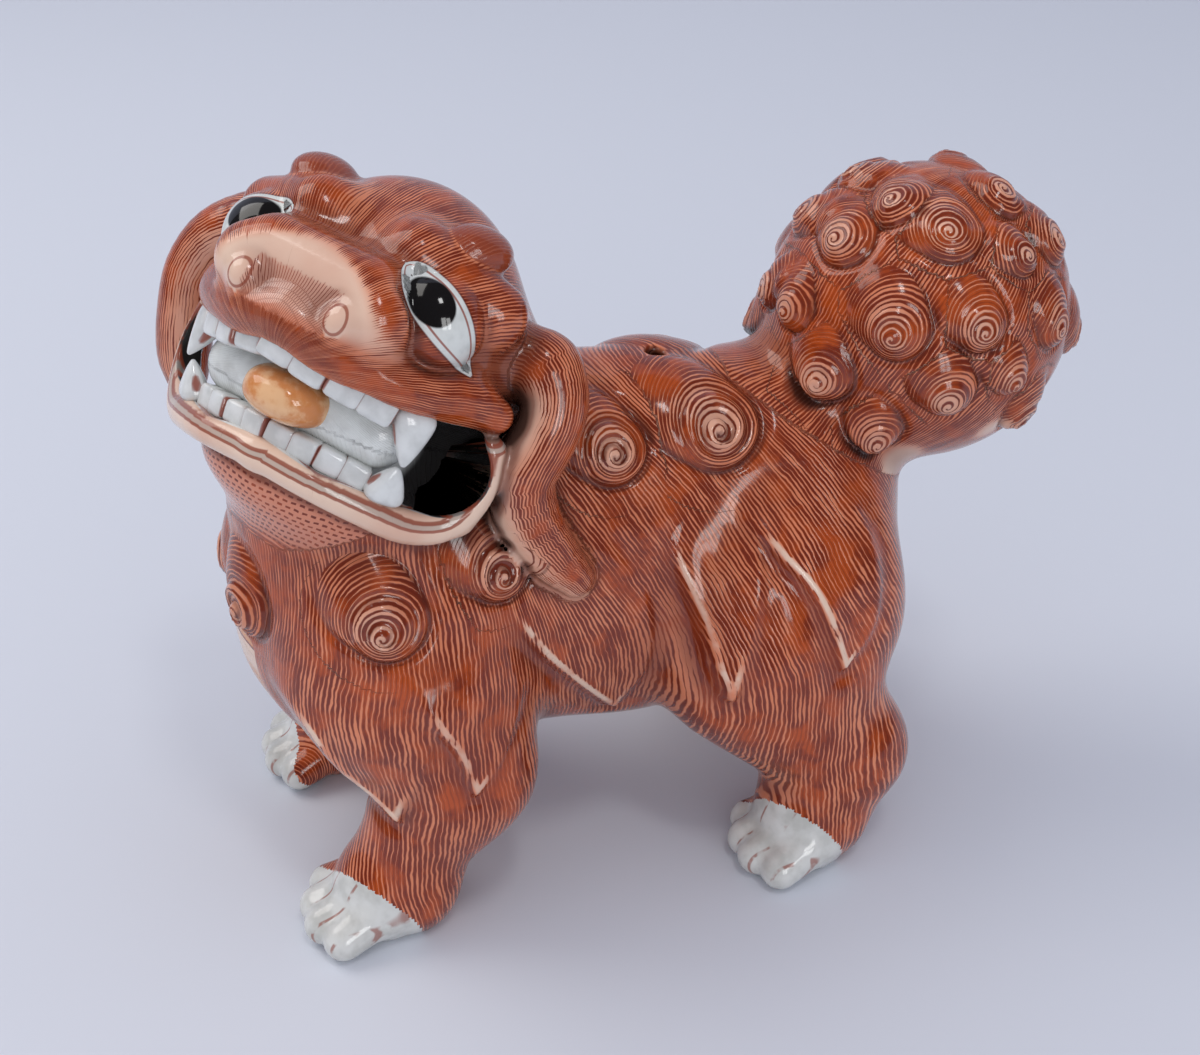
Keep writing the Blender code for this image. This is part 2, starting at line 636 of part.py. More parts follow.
def stand_on_origin(parts):
    """Parents the pieces to one empty, and moves it so that the whole stands centred on z = 0."""
    low, high = Vector((1e9,) * 3), Vector((-1e9,) * 3)
    for obj in parts.objects:
        for vertex in obj.data.vertices:
            place = obj.location + vertex.co
            low = Vector(map(min, low, place))
            high = Vector(map(max, high, place))
    stand = bpy.data.objects.new("foo_dog_stand", None)
    stand.empty_display_size = 0.02
    stand.location = (-(low.x + high.x) / 2, -(low.y + high.y) / 2, -low.z)
    pieces = list(parts.objects)
    parts.objects.link(stand)
    for obj in pieces:
        obj.parent = stand


def clear_scene():
    for obj in list(bpy.data.objects):
        bpy.data.objects.remove(obj, do_unlink=True)


def main():
    clear_scene()
    parts = bpy.data.collections.new("foo_dog_statue")
    guides = bpy.data.collections.new("cutters")
    for collection in (parts, guides):
        bpy.context.scene.collection.children.link(collection)

    _, trunk = build_trunk(parts, guides)
    head, jaw, head_solid = build_head(parts, guides)
    tail = build_tail(parts, guides)
    trunk_seat = swollen(trunk, SEAT_GAP, "trunk_seat", guides)
    head_seat = swollen(head_solid, SEAT_GAP, "head_seat", guides)
    tail_seat = swollen(tail, SEAT_GAP, "tail_seat", guides)
    legs = build_legs(parts, guides, trunk_seat, tail_seat)
    leg_seats = [swollen(leg, SEAT_GAP, leg.name + "_seat", guides) for leg in legs]

    build_eyes(parts, guides, head)
    build_horn_buds(parts, head_seat)
    ears = build_ears(parts, [head_seat, trunk_seat])
    ear_seats = [swollen(ear, SEAT_GAP, ear.name + "_seat", guides) for ear in ears]
    mouth_seats = [swollen(piece, SEAT_GAP, piece.name + "_seat", guides) for piece in (head, jaw)]
    build_mouth(parts, guides, mouth_seats)
    build_tail_curls(parts, tail_seat)
    build_body_curls(parts, [trunk, *legs], [trunk_seat, head_seat, *leg_seats, *ear_seats])

    finish_parts(parts)
    stand_on_origin(parts)
    for guide in guides.objects:
        guide.hide_render = True
        guide.display_type = "WIRE"


main()
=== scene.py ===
"""Foo dog statue: the glazed and painted surface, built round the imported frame.

The whole skin is one distance field, as if modelled in clay, and is then split into the statue's pieces.
Modelling is done in millimetres, in the dog's own frame: it looks along -Y, its left side is +X, +Z is up.
Painted hair is drawn by the materials from line coordinates that each piece carries as attributes.
"""
import math

import bpy
import numpy as np
import openvdb
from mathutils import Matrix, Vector


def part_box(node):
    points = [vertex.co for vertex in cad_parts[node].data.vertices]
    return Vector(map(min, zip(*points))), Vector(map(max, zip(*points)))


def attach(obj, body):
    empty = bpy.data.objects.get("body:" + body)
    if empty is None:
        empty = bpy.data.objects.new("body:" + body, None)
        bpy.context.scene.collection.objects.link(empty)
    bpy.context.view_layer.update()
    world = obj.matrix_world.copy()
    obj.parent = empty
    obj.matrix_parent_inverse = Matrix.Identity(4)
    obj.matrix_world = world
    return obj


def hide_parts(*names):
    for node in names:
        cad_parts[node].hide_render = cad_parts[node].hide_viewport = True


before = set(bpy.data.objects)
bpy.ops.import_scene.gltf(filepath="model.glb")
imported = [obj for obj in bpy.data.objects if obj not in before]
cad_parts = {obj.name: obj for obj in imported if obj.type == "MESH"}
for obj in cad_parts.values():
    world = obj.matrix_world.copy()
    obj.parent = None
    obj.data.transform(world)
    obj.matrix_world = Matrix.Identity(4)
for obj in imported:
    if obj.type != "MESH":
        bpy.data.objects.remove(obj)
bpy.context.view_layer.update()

MM = 0.001
CELL = 0.42      # size of a cell of the clay
FAR = 9.0                                # distance stored where there's no clay near
SIDES = (("left", 1), ("right", -1))

# ---- driving shapes, in millimetres; the right side mirrors the left ----
HEAD_CENTRE = np.array((3.94, -24.69, 87.56))
HEAD_TURN = (48.0, 24.0, -14.0)          # yaw, pitch and roll in degrees
EYEBALL = ((13.2, 9.8, 8.8), (6.5, 6.0, 6.5))
TRUNK = (
    ((0.0, -10.0, 49.0), (22.5, 28.0, 28.0)),
    ((0.0, 14.0, 48.5), (20.5, 30.0, 31.0)),
    ((0.0, 38.0, 51.0), (21.5, 20.0, 25.0)),
)
NECK = ((0.0, -25.0, 44.0), (2.0, -25.0, 76.0), 21.5, 20.0)
NAPE = ((0.0, 1.0, 60.0), (1.0, -13.0, 78.0), 15.0, 15.0)
LEGS = {
    "front": {
        "lump": ((15.0, -24.0, 44.0), (13.0, 18.0, 22.0)),
        "limbs": (
            ((17.0, -22.0, 38.0), (19.0, -18.0, 25.0), 13.0, 11.0),
            ((19.0, -19.0, 25.0), (20.0, -28.0, 9.0), 10.2, 8.0),
            ((20.0, -28.0, 6.0), (20.5, -31.5, 5.2), 8.4, 7.6),
        ),
        "paw": (20.5, -36.0),
    },
    "rear": {
        "lump": ((16.0, 34.0, 39.0), (14.0, 20.0, 21.0)),
        "limbs": (
            ((18.0, 30.0, 32.0), (23.0, 41.0, 18.0), 13.5, 10.5),
            ((23.0, 44.0, 17.0), (24.0, 38.0, 9.0), 8.5, 8.0),
            ((24.5, 38.0, 6.0), (26.0, 35.5, 5.2), 8.4, 7.8),
        ),
        "paw": (26.5, 31.5),
    },
}
LEG_TOP = 24.0                           # height where a leg piece meets the trunk
BELLY = 16.0                             # all skin below this height belongs to the legs
TOE_SPREAD = 4.2                         # from the middle of one toe to the next
TOE_LEAN = (0.5, -0.72, -0.49)           # direction in which the white toe cap lies
TAIL_CENTRE = np.array((0.0, 61.0, 79.5))
TAIL_RADII = (22.0, 23.5, 22.5)
TAIL_ROOT = np.array((0.0, 45.5, 63.8))
TAIL_AXIS = np.array((0.0, 0.55, 0.83))
COLLAR = np.array((1.0, -25.0, 71.0))
COLLAR_TILT = math.radians(23.0)
VENT = (0.0, 18.5, 79.4)
TAIL_PATCHES = (((14.0, 53.0, 61.5), 4.5), ((19.5, 66.0, 66.0), 3.6))    # bare glaze: place and radius

# Places on the head: left, forward, up, and a radius.
UPPER_LIP = ((0.0, 21.2, 3.4, 2.6), (5.0, 20.7, 2.4, 2.8), (10.7, 17.2, 1.0, 3.0),
             (16.0, 12.2, 0.4, 3.0), (19.7, 6.7, 1.2, 2.7), (22.6, 2.1, -0.2, 2.3))
LOWER_LIP = ((0.0, 16.6, -15.3, 2.4), (8.0, 15.6, -15.8, 2.4), (14.0, 11.8, -16.8, 2.4),
             (18.7, 7.2, -17.6, 2.4), (22.4, 3.2, -15.6, 2.4), (24.0, 1.6, -10.5, 2.3),
             (23.4, 1.4, -5.0, 2.2))
MOUTH = ((0.0, 18.0, -6.0), (9.0, 15.0, -7.5), (19.0, 4.0, -9.0))
MOUTH_CORNER = ((19.0, 2.0, -9.3), (5.0, 8.0, 6.2))
HORN_BUD = ((12.4, 3.6, 18.7), (4.4, 5.4, 3.1))
NOSTRIL = (7.4, 24.0, 6.0)
UPPER_TEETH = ((0.0, 20.2, -0.4), (8.0, 17.8, -1.8), (14.2, 13.2, -3.2))
LOWER_TEETH = ((0.0, 16.2, -12.0), (8.0, 14.4, -12.6), (13.2, 11.4, -13.4))
UPPER_FANG = ((16.0, 11.0, -2.0), (17.6, 12.3, -9.4))
LOWER_FANG = ((15.4, 10.6, -15.0), (16.9, 11.8, -9.8))
TONGUE = ((0.8, 15.0, -7.0), (6.0, 6.4, 3.5))
EARS = {
    1: ((18.0, -5.0, 6.5, 5.0), (23.5, -5.0, 7.0, 4.8), (26.8, -5.0, 3.5, 4.5), (27.3, -4.5, -1.5, 4.5),
        (26.6, -4.5, -7.5, 4.6), (28.3, -8.0, -13.0, 4.5), (31.8, -12.0, -17.0, 3.9),
        (35.3, -15.5, -19.5, 2.8)),
    -1: ((18.0, -5.0, 6.5, 5.0), (25.0, -4.8, 7.4, 4.7), (30.3, -4.6, 3.6, 4.4), (32.8, -5.0, -2.5, 4.2),
         (32.4, -6.0, -9.0, 4.2), (31.4, -7.2, -14.5, 4.0), (30.6, -8.5, -17.8, 3.2)),
}
# The painted eye: the inner and outer ends of its almond shape, and the pupil.
EYE_INNER = (9.0, 14.4, 14.6)
EYE_OUTER = (19.8, 7.6, 4.0)
EYE_FULLNESS = 7.776                     # sets the almond's width
PUPIL = (13.9, 14.2, 11.5)
PUPIL_HALF = (3.4, 2.8)                  # half its length along the eye, and half its width

# Pointed locks in relief, outlined on the side of the dog as (back, up). The first point is the tip.
LOCKS = {
    "flank": ((7.0, 28.0), (10.2, 36.0), (10.6, 45.0), (8.5, 53.0), (3.0, 60.0), (-5.0, 62.0),
              (-10.5, 56.0), (-7.0, 47.5), (-2.0, 40.0), (3.5, 32.5)),
    "haunch_front": ((20.8, 35.4), (23.5, 43.0), (25.6, 51.6), (26.3, 58.0), (21.0, 63.0),
                     (15.0, 58.0), (16.5, 51.0), (18.2, 46.0), (19.3, 40.0)),
    "haunch_rear": ((38.0, 38.4), (42.3, 41.5), (44.6, 47.0), (44.3, 55.0), (38.0, 64.0),
                    (25.0, 64.0), (28.6, 57.0), (32.4, 52.6), (35.2, 47.2)),
    "shoulder_front": ((-29.4, 23.4), (-25.6, 35.0), (-24.2, 42.0), (-25.5, 48.0), (-34.0, 50.0),
                       (-42.0, 45.0), (-39.5, 38.0), (-36.0, 31.0)),
    "shoulder_rear": ((-18.4, 29.2), (-14.6, 32.4), (-11.2, 38.0), (-10.5, 44.0), (-17.0, 48.5),
                      (-24.0, 46.0), (-23.0, 41.5), (-20.4, 36.5)),
}
CURL_KINDS = ("chest_curl", "shoulder_curl", "side_curl", "front_back_curl", "rear_back_curl")
CURL_SIZES = {"tail_curl": 0.94, "shoulder_curl": 0.88, "side_curl": 1.3, "front_back_curl": 1.1,
              "rear_back_curl": 1.15}    # size of the whole whorl, as a share of the applied curl's
TAIL_CURLS = 10                          # on each side
# Whorls that are only pressed into the ball: degrees round from +X, degrees up, radius in millimetres.
TAIL_WHORLS = ((33, 10, 4.0), (52, 38, 4.3), (28, -28, 3.8), (66, -6, 4.2), (45, 62, 4.0), (-50, 63, 4.0))
CURL_EYE = np.array((-0.12, -0.34))      # where a spiral's eye lies in its disc, as shares of the radius
CURL_SWEEP = 2.2                         # direction in which hair sweeps into a whorl, in radians
CURL_SPREAD = 1.3                        # above 1, a spiral's lines lie further apart near its eye
CURL_REACH = 0.8                         # how far that sweep stands out, as a share of the radius
RIDGE_TURNS = 2.2                        # turns of the ridge in relief

# Distance between the painted lines of hair, and between the short dashes of a stippled line.
HAIR = {"body": 0.72, "chest": 0.52, "head": 0.34, "ear": 0.5, "tail": 0.62, "curl": 0.72, "tail_curl": 0.68,
        "chin": 0.85, "dash": 1.15}
HEAD_GIRTH, EAR_GIRTH = 19.0, 4.6        # radii on which the hair of head and ears is laid out
STROKE_WIDTH = 0.39                      # half of a stroke, as a share of the distance between lines

GAP = (0.71, 0.235, 0.115)               # bare glaze between strokes, stained by the red
STIPPLE_GAP = (0.62, 0.26, 0.18)         # the same between short dashes
STROKE = (0.21, 0.026, 0.008)
POOLED = (0.46, 0.072, 0.011)            # where the enamel lies thick and orange
DEEP = (0.075, 0.012, 0.006)
# darker red for the hollows: enamel pooled there together with painted shade
HOLLOW_POOL_AND_SHADE = (0.13, 0.022, 0.010)
# painted shadow, near black, for the deepest hollows
HOLLOW_SHADOW = (0.03, 0.010, 0.007)
# painted shade for the deep corners of the mouth
MOUTH_CORNER_SHADE = (0.03, 0.028, 0.027)
CREAM = (0.80, 0.58, 0.44)
LIP_GREY = (0.36, 0.31, 0.27)
LINE = (0.28, 0.055, 0.025)              # red-brown outlines
ORANGE = (0.66, 0.27, 0.09)
BLACK = (0.006, 0.005, 0.005)
FLOOR_COLOUR = (0.675, 0.70, 0.755)

# The camera looks at TARGET from this direction: turned from -Y towards +X, and up.
AZIMUTH, ELEVATION = math.radians(72.0), math.radians(31.0)
DISTANCE = 0.255
FIELD_OF_VIEW = math.radians(40.0)
FLOOR_REACH = 3.0


def rounded(points, steps=4, closed=False):
    """A smooth curve through the points (Catmull-Rom); a closed one keeps its first point sharp."""
    p = np.array(points, float)
    if closed:
        p = np.concatenate([p, p[:1]])
    p = np.concatenate([[2 * p[0] - p[1]], p, [2 * p[-1] - p[-2]]])
    curve = []
    for a, b, c, d in zip(p[:-3], p[1:-2], p[2:-1], p[3:]):
        for t in np.arange(steps) / steps:
            curve.append(0.5 * (2 * b + (c - a) * t + (2 * a - 5 * b + 4 * c - d) * t ** 2
                                + (3 * b - a - 3 * c + d) * t ** 3))
    if not closed:
        curve.append(p[-2])
    return np.array(curve)


# ---- clay ----

def turned(yaw, pitch, roll):
    """Left, back and up axes of something that looks along -Y, turned by these angles in degrees."""
    y, p, r = (math.radians(a) for a in (yaw, pitch, roll))
    level = np.array((math.sin(y), -math.cos(y), 0.0))
    side = np.array((math.cos(y), math.sin(y), 0.0))
    rise = np.array((0.0, 0.0, 1.0))
    forward = math.cos(p) * level + math.sin(p) * rise
    upward = math.cos(p) * rise - math.sin(p) * level
    left = math.cos(r) * side + math.sin(r) * upward
    return np.array((left, -forward, math.cos(r) * upward - math.sin(r) * side))


HEAD = turned(*HEAD_TURN)


def on_head(left, forward, up):
    """A place on the head, in the modelling frame."""
    return HEAD_CENTRE + left * HEAD[0] - forward * HEAD[1] + up * HEAD[2]


def head_coordinates(points):
    """Left, forward and up of points, measured on the head."""
    local = (points - HEAD_CENTRE) @ HEAD.T
    return local[:, 0], -local[:, 1], local[:, 2]


def stand_shift():
    """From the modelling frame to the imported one: the eyeballs say where the head went."""
    middles = [np.mean([np.array(c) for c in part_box(f"eyeball_{hand}")], axis=0) for hand, _ in SIDES]
    _, forward, up = EYEBALL[0]
    return np.mean(middles, axis=0) / MM - on_head(0.0, forward, up)


STAND = stand_shift()
TARGET = Vector(((np.array((0.0, 10.0, 50.0)) + STAND) * MM).tolist())


def ball(centre, radii, axes=np.eye(3)):
    """An ellipsoid: its bounds and its distance function."""
    centre = np.asarray(centre, float)
    radii = np.asarray(radii, float) * np.ones(3)
    extent = np.sqrt(((axes * radii[:, None]) ** 2).sum(0))

    def distance(x, y, z):
        d = (x - centre[0], y - centre[1], z - centre[2])
        q = [(a[0] * d[0] + a[1] * d[1] + a[2] * d[2]) / r for a, r in zip(axes, radii)]
        size = np.sqrt(q[0] ** 2 + q[1] ** 2 + q[2] ** 2)
        slope = np.sqrt(sum((c / r) ** 2 for c, r in zip(q, radii))) + 1e-9
        return size * (size - 1.0) / slope
    return centre - extent, centre + extent, distance


def limb(start, end, start_radius, end_radius):
    """A round bar that tapers from one radius to the other."""
    a, b = np.asarray(start, float), np.asarray(end, float)
    ab = b - a
    lowest = np.minimum(a - start_radius, b - end_radius)
    highest = np.maximum(a + start_radius, b + end_radius)

    def distance(x, y, z):
        t = ((x - a[0]) * ab[0] + (y - a[1]) * ab[1] + (z - a[2]) * ab[2]) / (ab @ ab)
        t = np.clip(t, 0.0, 1.0)
        gap = np.sqrt((x - a[0] - t * ab[0]) ** 2 + (y - a[1] - t * ab[1]) ** 2 + (z - a[2] - t * ab[2]) ** 2)
        return gap - (start_radius + (end_radius - start_radius) * t)
    return lowest, highest, distance


def bars(path):
    """Tapered bars that join the points of a path of (point, radius)."""
    return [limb(a, b, a_radius, b_radius) for (a, a_radius), (b, b_radius) in zip(path[:-1], path[1:])]


def blended(a, b, width):
    """The smaller of two distances, with a fillet of this width between them."""
    h = np.maximum(width - np.abs(a - b), 0.0) / width
    return np.minimum(a, b) - h * h * width / 4.0


def smooth_step(value, start, end):
    """0 up to the start, 1 from the end on."""
    t = np.clip((value - start) / (end - start), 0.0, 1.0)
    return t * t * (3.0 - 2.0 * t)


class Clay:
    """A block of distances on a grid, to which shapes are added and from which they are cut."""

    def __init__(self, lowest, highest, cell):
        self.lowest = np.asarray(lowest, float)
        self.cell = cell
        self.count = np.ceil((np.asarray(highest, float) - self.lowest) / cell).astype(int) + 1
        self.lines = [(self.lowest[i] + cell * np.arange(self.count[i])).astype(np.float32) for i in range(3)]
        self.field = np.full(self.count, FAR, np.float32)

    def window(self, lowest, highest, margin):
        """The part of the grid within these bounds, as slices and as coordinates."""
        start = np.clip(np.floor((lowest - margin - self.lowest) / self.cell).astype(int), 0, self.count)
        stop = np.clip(np.ceil((highest + margin - self.lowest) / self.cell).astype(int) + 1, 0, self.count)
        part = tuple(slice(a, b) for a, b in zip(start, stop))
        x, y, z = (self.lines[i][part[i]] for i in range(3))
        return part, (x[:, None, None], y[None, :, None], z[None, None, :])

    def add(self, shape, width):
        part, grid = self.window(shape[0], shape[1], width + 3.0)
        self.field[part] = blended(self.field[part], shape[2](*grid).astype(np.float32), width)

    def cut(self, shape, width=1.0):
        part, grid = self.window(shape[0], shape[1], width + 3.0)
        self.field[part] = -blended(-self.field[part], shape[2](*grid).astype(np.float32), width)

    def add_group(self, shapes, width):
        """Overlapping shapes that blend with the rest but not with each other."""
        lowest = np.min([shape[0] for shape in shapes], axis=0)
        highest = np.max([shape[1] for shape in shapes], axis=0)
        part, grid = self.window(lowest, highest, width + 3.0)
        group = shapes[0][2](*grid)
        for shape in shapes[1:]:
            group = np.minimum(group, shape[2](*grid))
        self.field[part] = blended(self.field[part], group.astype(np.float32), width)

    def cut_flat(self, height):
        """Takes away everything below this height."""
        self.field = np.maximum(self.field, (height - self.lines[2])[None, None, :])

    def sample(self, points):
        """Distances at any points, interpolated between the grid's."""
        q = (points - self.lowest) / self.cell
        base = np.clip(np.floor(q).astype(int), 0, self.count - 2)
        t = (q - base).astype(np.float32)
        total = np.zeros(len(points), np.float32)
        for dx in (0, 1):
            for dy in (0, 1):
                for dz in (0, 1):
                    weight = np.abs(1 - dx - t[:, 0]) * np.abs(1 - dy - t[:, 1]) * np.abs(1 - dz - t[:, 2])
                    total += weight * self.field[base[:, 0] + dx, base[:, 1] + dy, base[:, 2] + dz]
        return total

    def normals(self, points, reach=0.5):
        """Outward directions at any points."""
        steps = reach * np.eye(3)
        slopes = np.stack([self.sample(points + step) - self.sample(points - step) for step in steps], -1)
        return slopes / (np.linalg.norm(slopes, axis=1, keepdims=True) + 1e-9)

    def settle(self, point, steps=12):
        """Moves a point to the skin; gives it with the skin's normal there."""
        place = np.array(point, float)[None, :]
        for _ in range(steps):
            place = place - self.normals(place, 1.5) * self.sample(place)[:, None] * 0.8
        return place[0], self.normals(place, 2.5)[0]

    def skin(self):
        """Vertices on the skin, and its faces."""
        grid = openvdb.FloatGrid(FAR)
        grid.copyFromArray(self.field)
        points, quads = grid.convertToQuads(0.0)
        points = points.astype(float) * self.cell + self.lowest
        for _ in range(2):
            points = points - self.normals(points) * self.sample(points)[:, None] * 0.7
        return points, quads.astype(np.int64)


def mirrored(point, side):
    """The same point, or its mirror image when the side is -1."""
    return (side * point[0], *point[1:])


def add_trunk(clay):
    """Body, legs, paws, neck and nape."""
    for centre, radii in TRUNK:
        clay.add(ball(centre, radii), 8.0)
    for leg in LEGS.values():
        for _, side in SIDES:
            clay.add(ball(mirrored(leg["lump"][0], side), leg["lump"][1]), 6.0)
            for number, (start, end, start_radius, end_radius) in enumerate(leg["limbs"]):
                bar = limb(mirrored(start, side), mirrored(end, side), start_radius, end_radius)
                clay.add(bar, 6.0 - number)
            add_paw(clay, side * leg["paw"][0], leg["paw"][1])
    clay.add(limb(*NECK), 6.0)
    clay.add(limb(*NAPE), 6.0)


def add_paw(clay, x, y):
    """Four rounded toes side by side, the middle ones further forward."""
    for number in range(4):
        across = (number - 1.5) * TOE_SPREAD
        forward = 2.4 * (1.0 - (across / (1.5 * TOE_SPREAD)) ** 2)
        toe = limb((x + across, y - 2.6 - forward, 3.0), (x + across * 0.6, y + 5.0, 5.8), 3.1, 3.9)
        clay.add(toe, 1.2)


def head_path(places, side):
    """A smooth path of (point, radius) through places on one side of the head."""
    return [(on_head(*mirrored(p[:3], side)), p[3]) for p in rounded(places)]


def bud_shape(side):
    """The knob on one side of the forehead."""
    return ball(on_head(*mirrored(HORN_BUD[0], side)), HORN_BUD[1], HEAD)


def add_head(clay):
    """Skull, muzzle, jaw, cheeks, brows, buds, lips, nose and eyeballs."""
    clay.add(ball(on_head(0.3, -3.5, 3.2), (18.3, 19.0, 20.3), HEAD), 5.0)
    clay.add(ball(on_head(0.0, 9.0, 2.0), (15.0, 13.5, 10.0), HEAD), 4.0)
    clay.add(ball(on_head(0.0, 2.0, -19.0), (16.0, 13.0, 7.5), HEAD), 4.0)
    for _, side in SIDES:
        clay.add(ball(on_head(side * 14.8, 2.0, 0.0), (6.5, 9.0, 8.0), HEAD), 3.0)
        clay.add(limb(on_head(side * 8.0, 9.5, 15.5), on_head(side * 18.0, 4.0, 12.0), 4.3, 4.3), 5.0)
        clay.add(bud_shape(side), 1.0)
        for lip, width in ((UPPER_LIP, 2.5), (LOWER_LIP, 1.2)):
            clay.add_group(bars(head_path(lip, side)), width)
    add_nose(clay)
    for _, side in SIDES:
        clay.add(ball(on_head(*mirrored(EYEBALL[0], side)), EYEBALL[1], HEAD), 0.7)


def add_nose(clay):
    """The broad nose: a bar with a lobe at each end, two nostrils, and a hollow before each eye."""
    clay.add(limb(on_head(-7.0, 17.0, 9.5), on_head(7.0, 17.0, 9.5), 4.6, 4.6), 3.0)
    for _, side in SIDES:
        clay.add(ball(on_head(side * 10.2, 17.2, 7.2), (4.4, 5.2, 5.0), HEAD), 2.0)
        clay.add(ball(on_head(side * 7.4, 21.3, 5.6), (2.4, 2.4, 2.4), HEAD), 1.6)
        clay.cut(limb(on_head(side * 12.6, 16.8, 12.6), on_head(side * 16.4, 14.8, 6.0), 1.0, 0.8), 3.0)


def corner_shape(side):
    """The deep corner of the mouth."""
    return ball(on_head(*mirrored(MOUTH_CORNER[0], side)), MOUTH_CORNER[1], HEAD)


def cut_mouth(clay):
    """The wide open mouth."""
    for _, side in SIDES:
        places = [on_head(*mirrored(p, side)) for p in MOUTH]
        for start, end in zip(places[:-1], places[1:]):
            clay.cut(limb(start, end, 6.6, 6.3))
        clay.cut(corner_shape(side))


def add_mouth_wall(clay):
    """The clay left standing behind the teeth, so that only the corners of the mouth are deep."""
    for _, side in SIDES:
        clay.add(limb(on_head(0.0, 13.0, -6.5), on_head(side * 11.2, 9.4, -7.9), 4.7, 4.4), 1.5)


def add_ears(clay):
    """Two long rolls, which grow broadly out of the head and then hang free."""
    for _, side in SIDES:
        roll = bars(head_path(EARS[side], side))
        clay.add_group(roll[:4], 3.5)
        clay.add_group(roll[4:], 1.2)


def add_tail(clay):
    """The tail's root and its ball."""
    clay.add(limb((0.0, 40.0, 57.0), (0.0, 51.0, 71.0), 12.0, 13.5), 5.0)
    clay.add(ball(TAIL_CENTRE, TAIL_RADII), 4.0)


# ---- relief ----

def outline_distance(y, z, corners):
    """Distance to a closed outline on the dog's side, less than 0 inside it."""
    inside = np.zeros(y.shape, bool)
    nearest = np.full(y.shape, 1e9)
    curve = rounded(corners, 3, closed=True)
    for (ya, za), (yb, zb) in zip(curve, np.roll(curve, -1, axis=0)):
        t = np.clip(((y - ya) * (yb - ya) + (z - za) * (zb - za)) / ((yb - ya) ** 2 + (zb - za) ** 2), 0, 1)
        nearest = np.minimum(nearest, np.hypot(y - ya - t * (yb - ya), z - za - t * (zb - za)))
        crosses = (za > z) != (zb > z)
        with np.errstate(divide="ignore", invalid="ignore"):
            inside ^= crosses & (y < (yb - ya) * (z - za) / (zb - za) + ya)
    return np.where(inside, -nearest, nearest)


def lock_strength(y, z, corners):
    """1 near a lock's tip, fading to 0 at its root."""
    (tip_y, tip_z), far = corners[0], max(math.dist(corners[0], c) for c in corners)
    near_tip = 1.0 - smooth_step(np.hypot(y - tip_y, z - tip_z) / far, 0.6, 1.0)
    root_y, root_z = np.mean(corners[3:7], axis=0)
    in_front = (y - tip_y) * (root_z - tip_z) - (z - tip_z) * (root_y - tip_y)
    return near_tip * (1.0 - 0.6 * smooth_step(in_front / far, -0.5, 2.5))


def carve_locks(clay):
    """Each lock stands proud along its pointed edge and sinks back towards its middle."""
    y, z = np.meshgrid(*clay.lines[1:], indexing="ij")
    rise = np.zeros(y.shape)
    for corners in LOCKS.values():
        edge = outline_distance(y, z, corners)
        inner = np.exp(-(np.minimum(edge, 0.0) / 1.5) ** 2) * 0.45 + 0.5
        outer = np.exp(-(edge / 0.8) ** 2) * 0.95 - 0.75 * np.exp(-((edge - 2.2) / 1.6) ** 2)
        rise += np.where(edge < 0.0, inner, outer) * lock_strength(y, z, corners)
    share = smooth_step(np.abs(clay.lines[0]), 9.0, 13.0)
    clay.field -= (share[:, None, None] * rise[None, :, :]).astype(np.float32)


def find_curls(clay):
    """Every applied curl: centre on the skin, its three axes and its radius, from its CAD node's box."""
    kinds = [(name, f"{name}_{hand}", side) for name in CURL_KINDS for hand, side in SIDES]
    for number in range(1, TAIL_CURLS + 1):
        kinds += [("tail_curl", f"tail_curl_{hand}_{number:02d}", side) for hand, side in SIDES]
    curls = []
    for kind, node, side in kinds:
        low, high = (np.array(c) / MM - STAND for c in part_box(node))
        middle, normal = clay.settle((low + high) / 2)
        upward = np.array((0.0, 0.0, 1.0)) if abs(normal[2]) < 0.8 else np.array((0.0, -0.8, 0.6))
        upward = upward - normal * (upward @ normal)
        upward /= np.linalg.norm(upward)
        rightward = np.cross(upward, normal) * side
        radius = 0.5 * float(max(high - low)) * CURL_SIZES.get(kind, 1.0)
        curls.append((kind, middle, (rightward, upward, normal), radius))
    return curls + find_whorls(clay)


def find_whorls(clay):
    """The whorls on the tail ball that aren't applied curls."""
    whorls = []
    for turn, rise, radius in TAIL_WHORLS:
        for _, side in SIDES:
            t, r = math.radians(turn), math.radians(rise)
            ray = np.array((side * math.cos(t) * math.cos(r), math.sin(t) * math.cos(r), math.sin(r)))
            middle, normal = clay.settle(TAIL_CENTRE + ray * np.array(TAIL_RADII))
            upward = TAIL_AXIS - normal * (TAIL_AXIS @ normal)
            upward /= np.linalg.norm(upward)
            whorls.append(("tail_curl", middle, (np.cross(upward, normal) * side, upward, normal), radius))
    return whorls


def spiral_share(a, b):
    """How far out a point (a, b) of a curl's unit disc is: 0 at the spiral's eye, 1 on the rim."""
    wa, wb = a - CURL_EYE[0], b - CURL_EYE[1]
    offset = CURL_EYE @ CURL_EYE
    slope = wa * CURL_EYE[0] + wb * CURL_EYE[1]
    return (slope + np.sqrt(slope ** 2 + (1.0 - offset) * (wa ** 2 + wb ** 2))) / (1.0 - offset)


